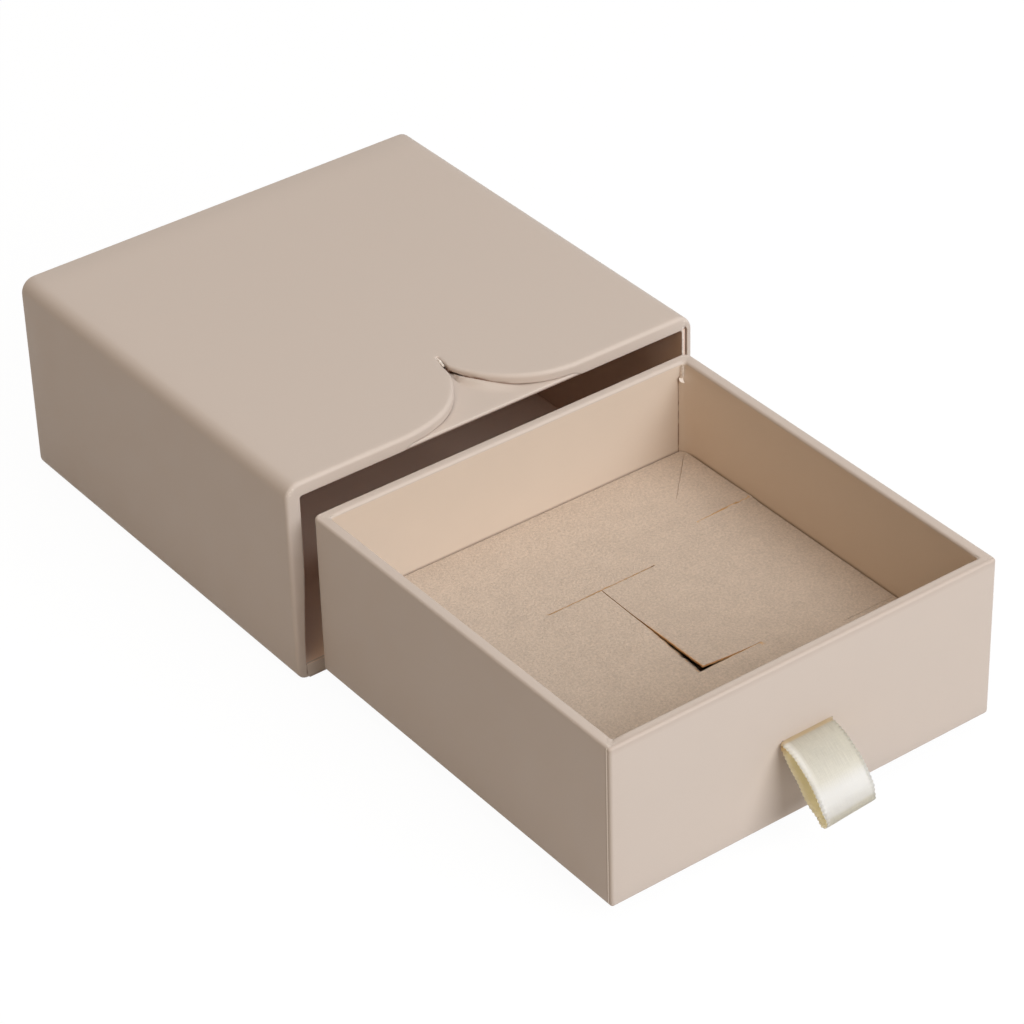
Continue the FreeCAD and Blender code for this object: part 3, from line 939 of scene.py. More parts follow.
def make_side_lining(name, side):
    """Slab that leans outward at the mouth, along with the wall beside it."""
    stations = [(LINING_Y0, LINING_T), (LINING_Y0, 0.0)]
    stations += [(LINING_Y0 + 0.7 * i, 0.0) for i in range(1, 15)]
    stations += [(0.0, 0.0), (BACK_Y - WALL, 0.0)]
    stations += [(y, LINING_T) for y in (BACK_Y - WALL, -31.0, -38.0)]

    def spot(i, k):
        y, through = stations[i]
        z = BAY_Z0 + (LINING_Z0 - BAY_Z0) * k / 20
        pressed = LINING_PRESSED[side] * pressed_share(side, z) * ease(-32.0, MOUTH_Y + 0.5, y)
        return side * (BAY_X + 0.04 + through + pressed), y, z

    skin = Skin()
    rows = skin.sheet(len(stations), 21, spot)
    skin.join(rows[-1], rows[0])
    for end in (0, -1):
        skin.faces.append(tuple(row[end] for row in rows))
    return make_piece(name, skin)


for name, side, node in (
    ("side_lining_left", -1, "sleeve_lining_left"),
    ("side_lining_right", 1, "sleeve_lining_right"),
):
    side_lining = make_side_lining(name, side)
    # Painted shade: the right lining, which stands in shade, is tinted browner.
    paint(side_lining, "crease", lambda x, y, z: 0.22 if x > 0 else 0.0)
    dress(side_lining, lining_card)
    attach(side_lining, "sleeve")
    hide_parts(node)


# %% Torn paper in the slit
TEAR_Y = -28.4
TEAR_LENGTH = 3.0


def tear_spot(i, k):
    """Place of a row's and a column's point in the tear."""
    along = i / 22
    y = TEAR_Y + TEAR_LENGTH * along
    wide = 0.20 * ease(-0.1, 0.25, along) * ease(1.05, 0.75, along) + 0.06
    share = k / 3 - 1
    x = tear_middle(y) + wide * share + 0.10 * ripple(y, share, 2.0, 0.7)
    fibre = 0.30 * abs(ripple(x, y, 3.0, 0.35)) + 0.16 * (share * share)
    return x, y, 39.66 - fibre


slit_tear = make_sheet("slit_tear", 23, 7, tear_spot)
paint(slit_tear, "worn", lambda x, y, z: 0.62 + 0.2 * ripple(x, y, 2.0, 0.6))
dress(slit_tear, cover_paper)
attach(slit_tear, "sleeve")

# %% [markdown]
# ## The drawer's covering
# The drawer's paper goes up the outside, over the rim and down the inside. It is built of
# level rows round the drawer's plan. At the corners, paper is folded in layers: the rim's
# inner corners are soft, and the corner at the front left shows the white cut edge of the
# overlap as an upright hairline. The slot for the ribbon is left open in the front.

# %% Plan of the drawer
SLOT_HALF_W = 5.2
SLOT_LOW = PULL_Z - 0.36
SLOT_HIGH = PULL_Z + 0.36
OUTER_RADII = (0.6, 0.6, 1.2, 1.2)


def tray_plan(inset, radii):
    """Plan of the drawer, inset all round, anticlockwise from the front left corner."""
    x = TRAY_X - inset
    y0 = TRAY_Y0 + inset
    y1 = TRAY_Y1 - inset
    # Of each corner: its side, its end, the way in from that end, and the arc's first angle.
    turns = ((-1, y0, 1, 180), (1, y0, 1, 270), (1, y1, -1, 0), (-1, y1, -1, 90))
    corners = []
    for (side, y, inward, start), r in zip(turns, radii):
        centre = (side * (x - r), y + inward * r)
        corners.append(arc_points(centre, r, start, start + 90, 6))
    slot_left = (-SLOT_HALF_W, y0)
    slot_right = (SLOT_HALF_W, y0)
    front = between(corners[0][-1], slot_left, 14) + [slot_left]
    front += between(slot_left, slot_right, 6) + [slot_right]
    front += between(slot_right, corners[1][0], 14)
    right = between(corners[1][-1], corners[2][0], 30)
    back = between(corners[2][-1], corners[3][0], 30)
    before, seam = [(corners[3][-1][0], corners[0][0][1] + away) for away in (1.0, 0.7)]
    left = between(corners[3][-1], before, 27) + [before, seam]
    left += between(seam, corners[0][0], 10)
    return corners[0] + front + corners[1] + right + corners[2] + back + corners[3] + left


FRONT_START = 7                 # numbers of places in the plan
SLOT_FIRST = FRONT_START + 13
SLOT_COLUMNS = tuple(range(SLOT_FIRST, SLOT_FIRST + 6))
PINCH_START = 76
print("places round the drawer:", len(tray_plan(0, OUTER_RADII)))

# %% Crease in the back right corner
CREASE_X = 35.88
CREASE_Y = TRAY_Y1 - 2.04
RIM_FADE = (33.9, 31.0)         # unevenness of the walls fades between these heights
PAD_LEVEL = (15.55, 15.95)      # and between these, where the pad covers them
INSIDE_X = 36.9                 # what lies beyond this is a side wall, inside
LEFT_FACE = -39.2               # and this, the drawer's left face


def pinched(points, z):
    """Back right corner inside, where the paper bridges the corner and ends in a crease."""
    share = ease(*RIM_FADE, z) * ease(*PAD_LEVEL, z)
    wander = 0.08 * ripple(z, 0.0, 3.0, 1.3)
    wall_y = TRAY_Y1 - TRAY_WALL
    places = [
        (36.78, TRAY_Y1 - 4.2),
        (36.60, TRAY_Y1 - 3.3),
        (36.20, TRAY_Y1 - 2.55),
        (35.96 + wander, TRAY_Y1 - 2.24),
        (CREASE_X + wander, CREASE_Y),
        (35.82 + wander, wall_y),
        (35.74 + wander, wall_y),
        (35.5, wall_y),
        (34.9, wall_y),
    ]
    for i, spot in enumerate(places, PINCH_START):
        points[i] = tuple(a + (b - a) * share for a, b in zip(points[i], spot))
    return points


# %% Levels of the drawer
FOOT_ROLL = 0.45
RIM_ROLL = 0.55
SEAM_Y = TRAY_Y0 + 0.82
SEAM_EDGE = 0.08                # height of the paper's edge on the left face
SEAM_FURROW = 0.05              # depth of the furrows beside it
WALL_SWELL = 0.22               # of the right wall, inside
INSIDE_WAVE = 0.04
OUTSIDE_WAVE = 0.035
CORNER_FOLD = 0.11              # depth of the folds at the rim's corners


def tray_levels():
    """Inset, height and corner radii of each row, from under the base to inside."""
    tight = (0.5, 0.4, 0.5, 0.5)
    soft = (0.8, 0.6, 0.8, 0.7)
    crease = (0.3, 0.3, 0.3, 0.3)
    wrap_z = TRAY_Z0 + 0.14
    levels = [(6.0, TRAY_Z0, tight), (2.4, TRAY_Z0, tight), (2.3, TRAY_Z0 + 0.02, tight)]
    levels += [(2.26, wrap_z, tight), (0.6, wrap_z, tight)]
    levels += [(left, wrap_z + bent, OUTER_RADII) for left, bent in quarter(FOOT_ROLL, 4)]
    rise = [6.0, 9.0, 12.0, 15.0, SLOT_LOW, SLOT_HIGH, 22.0, 25.0, 28.0, 31.0, 33.0]
    levels += [(0.0, z, OUTER_RADII) for z in rise]
    rim = quarter(RIM_ROLL, 6)
    levels += [(bent, TRAY_Z1 - left, OUTER_RADII) for left, bent in rim]
    levels.append((TRAY_WALL / 2, TRAY_Z1, OUTER_RADII))
    levels += [(TRAY_WALL - left, TRAY_Z1 - bent, soft) for left, bent in rim]
    fall = [33.4 - 0.65 * i for i in range(26)]
    fall += [16.6, 16.35, 16.15, 15.95, 15.7, 15.5, 10.0, TRAY_FLOOR_Z - 0.1]
    return levels + [(TRAY_WALL, z, crease) for z in fall]


def tray_soften(x, y, z, inside):
    """Small unevenness of glued paper, and the right wall's swell inside."""
    if inside:
        swell = 0.0
        if x > INSIDE_X:
            swell = WALL_SWELL * ease(33.6, 24.0, z) * ease(*PAD_LEVEL, z)
        swell = swell * ease(TRAY_Y0 + 3, TRAY_Y0 + 12, y)
        wave = INSIDE_WAVE * (1 + ripple(x, y, z, 7.0)) * ease(*RIM_FADE, z)
        shift = swell + wave if abs(x) > INSIDE_X and y < TRAY_Y1 - 2.6 else 0.0
        return x - math.copysign(shift, x), y, z
    if z > 33.7:
        ends = (TRAY_Y0 + 1.6, TRAY_Y1 - 1.6)
        near = min(plan_distance(abs(x), y, 37.6, end) for end in ends)
        fold = ease(1.9, 0.5, near) * ease(33.7, 34.2, z)
        return x, y, z - CORNER_FOLD * fold * (1 + 1.3 * ripple(x, y, 2.0, 0.55))
    wave = OUTSIDE_WAVE * (1 + ripple(x, y, z, 12.0)) * ease(*RIM_FADE, z) * ease(3.6, 6.0, z)
    if abs(x) > 39.0 and TRAY_Y0 + 3 < y < TRAY_Y1 - 3:
        return x - math.copysign(wave, x), y, z
    return x, y, z


def seam_ridge(x, y):
    """Height of the upright paper edge on the left face beside the front corner."""
    if x > LEFT_FACE:
        return 0.0
    away = abs(y - SEAM_Y)
    furrow = SEAM_FURROW * ease(0.4, 0.26, away) * ease(0.14, 0.22, away)
    return SEAM_EDGE * ease(0.16, 0.05, away) - furrow


def tray_row(inset, z, radii):
    """Points of one level of the drawer."""
    inside = inset >= TRAY_WALL - 0.01
    plan = tray_plan(inset, radii)
    if inside:
        plan = pinched(plan, z)
    points = [tray_soften(x, y, z, inside) for x, y in plan]
    if inset == 0.0:
        points = [(p[0] - seam_ridge(x, y), p[1], p[2]) for p, (x, y) in zip(points, plan)]
    return points


def make_drawer_cover():
    skin = Skin()
    levels = tray_levels()
    rows = [skin.row(tray_row(*level)) for level in levels]
    for (_, z, _), first, second in zip(levels, rows, rows[1:]):
        skin.join(first, second, closed=True, skip=SLOT_COLUMNS if z == SLOT_LOW else ())
    skin.faces.append(tuple(reversed(rows[0])))
    return make_piece("drawer_cover", skin)


drawer_cover = make_drawer_cover()


# %% Wear and painted shade of the drawer's covering
INNER_CORNERS = (
    (-37.15, TRAY_Y1 - 2.15),
    (37.15, TRAY_Y0 + 2.15),
    (-37.15, TRAY_Y0 + 2.15),
)


def drawer_wear(x, y, z):
    """White core on the overlap's edge and on the rim's corners."""
    seam = ease(0.20, 0.06, abs(y - SEAM_Y)) if x < LEFT_FACE else 0.0
    corner = 0.0
    for corner_x in (-38.3, 38.3):
        for corner_y in (TRAY_Y0 + 1.0, TRAY_Y1 - 1.0):
            near = plan_distance(x, y, corner_x, corner_y)
            corner = max(corner, ease(1.9, 0.4, near) * ease(33.2, 34.2, z))
    return max(seam, 0.40 * corner)


def drawer_painted_shade(x, y, z):
    """Painted shade in the inner corners, the back right crease, the pad's joint and beside the
    seam, and on the front rim to dim its lit roll.
    """
    dark = 0.0
    if 15.0 < z < 33.6 and abs(x) < 37.5:
        near = plan_distance(x, y, CREASE_X, CREASE_Y)
        dark = ease(0.17, 0.06, near) * (0.75 + 0.5 * ripple(z, 1.0, 2.0, 0.8))
        foot = ease(16.5, 16.3, z) if x > 30.0 or y > TRAY_Y1 - 3.0 else 0.0
        dark = max(dark, 0.4 * foot)
        for corner in INNER_CORNERS:
            dark = max(dark, 0.4 * ease(0.3, 0.1, plan_distance(x, y, *corner)))
    # Painted shade on the front rim, which dims the highlight on its rounded edge.
    if y < TRAY_Y0 + 0.7:
        dark = max(dark, 0.15 * ease(33.5, 34.1, z))
    if x < -39.15 and z < 34.0:
        away = abs(y - SEAM_Y)
        dark = max(dark, 0.30 * ease(0.42, 0.28, away) * ease(0.14, 0.24, away))
    return dark


def is_inside_paper(face):
    """True for a face of the drawer's inner walls."""
    centre = face.center / MM
    well = abs(centre.x) < 37.3 and TRAY_Y0 + 2.0 < centre.y < TRAY_Y1 - 2.0
    return well and TRAY_FLOOR_Z - 0.2 < centre.z < 34.0


paint(drawer_cover, "worn", drawer_wear)
# Painted shade: brown in the drawer's inner corners, crease and joints and beside the seam.
paint(drawer_cover, "crease", drawer_painted_shade)
dress(drawer_cover, cover_paper, inner_paper_lightened, is_inside_paper)
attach(drawer_cover, "drawer")
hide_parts("drawer_wrap_paper")
print("drawer covering done")

# %% [markdown]
# In the drawer's back right corner the overlap was folded down by hand. A narrow strip of
# it stands at the rim, and a torn tab with a white core sticks out below it. Both are
# small curled sheets that ride with the drawer.

# %% Folded strip and torn tab
def strip_spot(i, k):
    """Place of a point of the strip, by its row down and its column across."""
    share = k / 5
    z = 34.15 - 4.35 * i / 11
    x = 36.18 + 0.30 * share + 0.04 * ripple(z, share, 1.0, 1.0)
    return x, TRAY_Y1 - 2.30 - 0.14 * math.sin(math.pi * share) - 0.5 * share, z


def tab_spot(i, k):
    """Place of a point of the torn tab."""
    down = i / 6
    share = k / 6
    x = 35.66 + 0.62 * share * (1 - 0.2 * down) + 0.08 * ripple(down, share, 4.0, 0.4)
    curl = 0.55 * down ** 1.3 + 0.06 * ripple(share, down, 6.0, 0.4)
    return x, TRAY_Y1 - 2.45 - 0.45 * share - curl, 31.75 - 0.55 * down - 0.25 * share * down


corner_strip = make_sheet("corner_strip", 12, 6, strip_spot)
torn_tab = make_sheet("torn_tab", 7, 7, tab_spot)
paint(corner_strip, "worn", lambda x, y, z: 0.62)
paint(torn_tab, "worn", lambda x, y, z: 1.1)
for scrap in (corner_strip, torn_tab):
    dress(scrap, cover_paper)
    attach(scrap, "drawer")

# %% [markdown]
# ## The pad's suede
# Flocked paper is glued on the pad's card and rolled over its folded sides. A knife cut
# through both leaves two lips that stand up a little and show brown card. The facing is
# one flat sheet, triangulated round its cuts, with a ring of points along each cut that
# lifts its lips. The short cuts at the sides and corners hold chains or let the card
# give; the long ones in the middle make the ring slot's two tongues.

# %% Cuts in the pad
PAD_X0 = -37.04
PAD_X1 = 36.8
SUEDE_Y0 = PAD_Y0 - 0.16
SUEDE_Y1 = PAD_Y1 + 0.16
EDGE_ROLL = 0.14
SIDE_CUT = 18.5                 # from the pad's middle to its side cuts
CUT_HALF = 0.035                # half the width of a side cut and of a corner cut
CORNER_CUT_HALF = 0.034
FAINT = 0.25                    # how clearly a cut shows
CLEAR = 0.8
LIP = 0.09                      # height of a clear cut's lips
LIP_RING = 0.35                 # from a cut to the points that let its lips rise
PUCKER = 0.12                   # height of a small pucker behind the ring slot
RISE_MOST = 0.22                # the most that lips and pucker stand up together
SIDE_SPRUNG = 0.26              # how far the pad's sides have sprung up behind their cuts
FACING_GRID = 2.1               # pitch of the facing's other points
SUEDE_FOOT_Z = 15.2             # where the facing ends on the pad's folded sides
rng = random.Random(7)


def straight_cut(a, b, half):
    """Outline of a thin knife cut from a to b, a little unsteady, pointed at both ends."""
    a = Vector(a)
    b = Vector(b)
    way = (b - a).normalized()
    side = Vector((-way.y, way.x))
    steps = max(4, int((b - a).length / 0.7))
    left = []
    right = []
    for i in range(1, steps):
        spot = a + (b - a) * i / steps + side * rng.uniform(-0.05, 0.05)
        width = half * min(1.0, 4 * min(i, steps - i) / steps + 0.3)
        left.append(tuple(spot + side * width * rng.uniform(0.8, 1.2)))
        right.append(tuple(spot - side * width * rng.uniform(0.8, 1.2)))
    return [tuple(a)] + right + [tuple(b)] + left[::-1]


def pad_cuts():
    """Outlines of the short cuts at the sides and corners, and how clearly each shows."""
    found = []
    for side in (-1, 1):
        for end, corner_y, clear in ((-1, PAD_Y0, FAINT), (1, PAD_Y1, CLEAR)):
            y = PAD_MID_Y + end * SIDE_CUT
            found.append((straight_cut((side * 36.25, y), (side * 24.7, y), CUT_HALF), clear))
            near = (side * 36.2, corner_y - end * 0.9)
            far = (side * 26.0, corner_y - end * 11.3)
            found.append((straight_cut(near, far, CORNER_CUT_HALF), FAINT))
    return found


def ring_round(outline, distance):
    """Outline moved outward by a distance, point by point."""
    moved = []
    for i, point in enumerate(outline):
        after = Vector(outline[(i + 1) % len(outline)])
        way = (after - Vector(outline[i - 1])).normalized()
        moved.append(tuple(Vector(point) + Vector((way.y, -way.x)) * distance))
    return moved


# %% Ring slot's outline
TONGUE_ROWS = 60
TONGUE_GAP = 0.14
SLOT_STEPS = 30


def tongue_y(row):
    """Place of a tongue's row, from its front end to its back end."""
    low = SLOT_MID_Y - SLOT_HALF_LEN
    high = SLOT_MID_Y + SLOT_HALF_LEN
    return low + (high - low) * row / TONGUE_ROWS


FRONT_Y = tongue_y(0)           # ends of the ring slot
REAR_Y = tongue_y(TONGUE_ROWS)


def slot_outline():
    """Window of the ring slot, anticlockwise, with unsteady cut ends."""
    front = []
    back = []
    for i in range(1, SLOT_STEPS):
        x = -SLOT_X + 2 * SLOT_X * i / SLOT_STEPS
        front.append((x, FRONT_Y + (rng.uniform(-0.05, 0.05) if x > 0 else 0.0)))
        back.append((-x, REAR_Y + rng.uniform(-0.05, 0.05)))
    right = [(SLOT_X, tongue_y(i)) for i in range(TONGUE_ROWS + 1)]
    left = [(-SLOT_X, y) for _, y in reversed(right)]
    return front + right + back + left


SLOT_OUTLINE = slot_outline()
PAD_CUTS = pad_cuts()
print("cuts in the pad:", len(PAD_CUTS) + 1)


# %% Facing sheet of the pad
def pad_border():
    """Outline of the flat top, inside its rolled edge."""
    x0, x1 = PAD_X0 + EDGE_ROLL, PAD_X1 - EDGE_ROLL
    y0, y1 = SUEDE_Y0 + EDGE_ROLL, SUEDE_Y1 - EDGE_ROLL
    corners = [(x0, y0), (x1, y0), (x1, y1), (x0, y1)]
    outline = []
    for a, b in zip(corners, corners[1:] + corners[:1]):
        outline.append(a)
        outline += between(a, b, 36)
    return outline


def nearest_cut(x, y):
    """Distance to the nearest knife cut, and how clearly that cut shows."""
    found = (99.0, 0.0)
    for cut, clear in PAD_CUTS:
        a = Vector(cut[0])
        way = Vector(cut[len(cut) // 2]) - a
        t = min(1.0, max(0.0, (Vector((x, y)) - a).dot(way) / way.length_squared))
        found = min(found, ((Vector((x, y)) - a - way * t).length, clear))
    if abs(x) < SLOT_X:
        found = min(found, (abs(y - FRONT_Y), CLEAR if x > 0 else 0.12))
        found = min(found, (abs(y - REAR_Y), 0.6))
    return found


def pad_height(x, y):
    """Top of the suede: lips along the cuts, a pucker, and a sprung edge at the side."""
    away, clear = nearest_cut(x, y)
    lip = LIP * clear * max(0.0, 1 - away / 0.5) * (1 + 0.6 * ripple(x, y, 2.0, 1.2))
    pucker = PUCKER * math.exp(-((x - 0.5) ** 2 + (y + 70.3) ** 2) / 1.1)
    side_y = PAD_MID_Y + SIDE_CUT
    sprung = 0.0
    if y >= side_y:
        sprung = SIDE_SPRUNG * math.exp(-(y - side_y) / 3.0) * ease(25.5, 31.0, abs(x))
    return SUEDE_Z + min(lip + pucker, RISE_MOST) + sprung


def pad_inside():
    """Extra points of the facing: a ring round each cut, and a grid away from them."""
    inside = [p for cut, _ in PAD_CUTS for p in ring_round(cut, LIP_RING)]
    for x, y in SLOT_OUTLINE:
        if abs(x) < SLOT_X - 0.01:
            inside.append((x, y + math.copysign(LIP_RING, y - SLOT_MID_Y)))
    for i in range(-17, 18):
        for j in range(-17, 18):
            spot = (i * FACING_GRID, PAD_MID_Y + j * FACING_GRID)
            clear = nearest_cut(*spot)[0] > 0.9 and not inside_outline(spot, SLOT_OUTLINE)
            if clear and PAD_X0 + 0.5 < spot[0] < PAD_X1 - 0.5:
                inside.append(spot)
    return inside


def outward(value, low, high, step):
    """The step with a sign that leads out of a range, at its two ends only."""
    return step if value > high - 0.2 else (-step if value < low + 0.2 else 0)


def make_pad_facing():
    skin = Skin()
    border = pad_border()
    holes = [cut for cut, _ in PAD_CUTS] + [SLOT_OUTLINE]
    fill_flat(skin, border, holes, pad_inside(), pad_height)
    for hole in holes:
        top = skin.row((x, y, pad_height(x, y)) for x, y in hole)
        low = skin.row((x, y, PAD_CARD_Z) for x, y in hole)
        on_fold = [i for i, (x, _) in enumerate(hole) if abs(abs(x) - SLOT_X) < 0.01]
        skip = on_fold[:-1] if hole is SLOT_OUTLINE else ()
        skin.join(top, low, closed=True, skip=skip)
    rows = []
    for left, bent in quarter(EDGE_ROLL, 5):
        out = EDGE_ROLL - left
        rolled = []
        for x, y in border:
            way_x = outward(x, PAD_X0, PAD_X1, out)
            way_y = outward(y, SUEDE_Y0, SUEDE_Y1, out)
            rolled.append((x + way_x, y + way_y, pad_height(x, y) - bent))
        rows.append(skin.row(rolled))
    rows.append(skin.row((x, y, SUEDE_FOOT_Z) for x, y, _ in rolled))
    skin.strips(rows, closed=True)
    return make_piece("pad_facing", skin)


pad_facing = make_pad_facing()


# %% Finish of the pad
def pad_cut_paint(x, y, z):
    """1 on a cut's walls and lips, and fading on the suede beside it."""
    if z < PAD_Z - 0.1 and max(abs(x), abs(y - PAD_MID_Y)) < 36.35:
        return 1.0
    away, clear = nearest_cut(x, y)
    return clear * max(0.0, 1 - away / 0.26)


paint(pad_facing, "cut", pad_cut_paint)
dress(pad_facing, flocked_suede)
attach(pad_facing, "pad")
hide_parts("pad_suede")

# %% [markdown]
# ## The ring slot's tongues
# Each tongue is card with its suede, whole with the pad at its fold and free on three
# sides. The right one has sprung up at its front corner after a ring was pulled out, so
# it is warped: nothing over its back quarter, and a little under a millimetre at its front.
# The knife ran a little to the left, and the left tongue's corner is rubbed away and
# pressed down, with its lower ply sticking out. Both are closed slabs whose grid follows
# the warp.

# %% Tongues
TONGUE_T = 0.34
TONGUE_COLUMNS = 22
TONGUE_FREE_X = 0.07            # half the gap between the tongues' free edges
FRONT_SPRUNG = 0.86             # height of the right tongue's front corner
CORNER_PRESSED = 0.26           # how far the left tongue's corner is pressed down
KNIFE_LEAN = 0.85               # how far the cut between them runs off to the left
RUBBED = 0.42                   # and how much the left tongue's corner is rubbed away
KNIFE_START = 0.058             # how far to the left that cut starts, at the back
KNIFE_SHAKE = 0.03              # unsteadiness of that cut
END_SHAKE = 0.04                # and of the cuts at a tongue's ends
TORN_DEPTH = 0.34               # waves of the left tongue's torn edge
LOWER_PLY = 0.75                # how far its lower ply sticks out there
EDGE_DROP = 0.05                # how far a cut edge lies below the suede


def tongue_lift(side, across, along):
    """Height over the pad at a share across from the fold and along from the back."""
    if side > 0:
        front = max(0.0, (along - 0.25) / 0.75)
        return FRONT_SPRUNG * across ** 1.6 * front ** 1.3 + 0.03 * across
    return -CORNER_PRESSED * across ** 6 * along ** 3


def knife_lean(side, along):
    """Sideways place of the free edge, which runs off to the left towards the front."""
    rubbed = RUBBED * max(0.0, (along - 0.5) / 0.5) ** 1.1 if side < 0 else 0.0
    return -KNIFE_LEAN * along - rubbed


def tongue_points(side, r, c):
    """Point of a tongue's top at a row and a column, and the point under it."""
    cut_row = r == TONGUE_ROWS or (r == 0 and side > 0)
    at_knife = c == TONGUE_COLUMNS
    at_end = cut_row and c > 0
    along = 1 - r / TONGUE_ROWS
    across = c / TONGUE_COLUMNS
    open_part = ease(0.4, 0.7, along)
    y = tongue_y(r)
    if cut_row:
        y += TONGUE_GAP if r == 0 else -TONGUE_GAP
    shift = side * knife_lean(side, along) * across ** 2
    if at_knife:
        shift += rng.uniform(-KNIFE_SHAKE, KNIFE_SHAKE) * open_part
        shift -= side * KNIFE_START * ease(0.5, 0.25, along)
        shift += TORN_DEPTH * open_part * ripple(y, side, 3.0, 0.55) if side < 0 else 0.0
    x = side * (SLOT_X + (TONGUE_FREE_X - SLOT_X) * across + shift)
    z = SUEDE_Z + tongue_lift(side, across, along)
    if at_end:
        y += rng.uniform(-END_SHAKE, END_SHAKE)
    if at_knife or at_end:
        z -= EDGE_DROP
    bevel = LOWER_PLY * open_part if side < 0 and at_knife else 0.0
    return (x, y, z), (x + bevel, y, z - TONGUE_T * (1 + bevel))


def make_tongue(name, side):
    skin = Skin()
    tops = []
    lows = []
    for r in range(TONGUE_ROWS + 1):
        pairs = [tongue_points(side, r, c) for c in range(TONGUE_COLUMNS + 1)]
        tops.append(skin.row(top for top, _ in pairs))
        lows.append(skin.row(low for _, low in pairs))
    skin.strips(tops)
    skin.strips(lows)
    skin.join(tops[0], lows[0])
    skin.join(tops[-1], lows[-1])
    skin.join([row[-1] for row in tops], [row[-1] for row in lows])
    return make_piece(name, skin)


def tongue_cut_paint(x, y, side):
    """Brown card along a tongue's free edge and at its ends."""
    along = (REAR_Y - y) / (REAR_Y - FRONT_Y)
    free = side * TONGUE_FREE_X + knife_lean(side, along)
    ends = min(abs(y - FRONT_Y), abs(y - REAR_Y))
    clear = 0.85 if side > 0 else 0.0
    if y > REAR_Y - 0.5:
        clear = 0.25
    strong = 0.12 + 0.68 * ease(0.25, 0.6, along)
    at_edge = strong * ease(0.26, 0.06, abs(x - free))
    return max(clear * ease(0.26, 0.05, ends), at_edge)


def dress_tongue(obj, body, *nodes):
    """Suede above and card below and at the cut sides."""
    side = 1 if body.startswith("right") else -1
    paint(obj, "cut", lambda x, y, z: tongue_cut_paint(x, y, side))
    dress(obj, flocked_suede, pad_board, lambda face: face.normal.z < 0.5)
    for face in obj.data.polygons:
        face.use_smooth = face.material_index == 0
    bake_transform(obj)
    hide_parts(*nodes)


left_tongue = make_tongue("left_tongue", -1)
right_tongue = make_tongue("right_tongue", 1)
dress_tongue(left_tongue, "left_flap", "ring_flap_left", "ring_flap_left_suede")
dress_tongue(right_tongue, "right_flap", "ring_flap_right", "ring_flap_right_suede")

# %% [markdown]
# ## The ribbon pull
# A satin ribbon is doubled and its ends are pushed through the slot and glued down
# inside. Outside it makes a flat loop that hangs under its own weight. It is built as one
# band along a smooth path: up behind the front board, out through the slot, over and down
# to the fold, and back. Both selvedges carry a row of small thread loops. The band's two
# ends stay with the drawer and the loop swings.

# %% Path of the ribbon
def curve_between(p0, p1, p2, p3, steps):
    """Places on a smooth curve from p1 on towards p2, which also heeds its neighbours."""
    square = 2 * p0 - 5 * p1 + 4 * p2 - p3
    cube = 3 * p1 - p0 - 3 * p2 + p3
    shares = [k / steps for k in range(steps)]
    return [0.5 * (2 * p1 + (p2 - p0) * t + square * t ** 2 + cube * t ** 3) for t in shares]


def smooth_path(points, steps):
    """Even places on a smooth curve through the points, and its length."""
    points = [Vector(p) for p in points]
    led = points[:1] + points + points[-1:]
    dense = []
    for four in zip(led, led[1:], led[2:], led[3:]):
        dense += curve_between(*four, 24)
    dense.append(points[-1])
    lengths = [0.0]
    for a, b in zip(dense, dense[1:]):
        lengths.append(lengths[-1] + (b - a).length)
    total = lengths[-1]
    found = []
    k = 0
    for i in range(steps + 1):
        goal = total * i / steps
        while k < len(dense) - 2 and lengths[k + 1] < goal:
            k += 1
        t = (goal - lengths[k]) / max(lengths[k + 1] - lengths[k], 1e-9)
        found.append(dense[k].lerp(dense[k + 1], t))
    return found, total


# Place behind the front's outer face, or before it where the number is below 0, and height.
RIBBON_PATH = [
    (1.88, 9.4), (1.88, 14.0), (1.82, 17.6), (1.45, 18.85), (0.6, 19.07), (-0.3, 19.15),
    (-1.6, 19.1), (-4.1, 18.15), (-7.5, 15.5), (-9.9, 12.4), (-11.0, 10.3), (-11.05, 9.4),
    (-10.3, 9.0), (-8.3, 9.35), (-5.6, 10.9), (-3.0, 14.6), (-1.3, 17.5), (-0.3, 18.55),
    (0.6, 18.73), (1.25, 18.5), (1.5, 17.4), (1.52, 14.0), (1.52, 9.4),
]
BAND_STEPS = 520
band_line, BAND_LENGTH = smooth_path(RIBBON_PATH, BAND_STEPS)
print("ribbon cut length", round(BAND_LENGTH, 1), "mm")

# %% Band of the ribbon
ACROSS = 14                     # steps across the band
PICOT_PITCH = 0.72              # between the selvedge's thread loops
PICOT = 0.13                    # how far a loop stands out
SWAY = -0.60                    # sideways shift of the band's upper half
SWAY_BACK = 0.75                # and how far back from it the lower half lies
LEAN = 0.35                     # height of one edge over the middle, at the fold
CUP = 0.05                      # depth of the hollow across the band


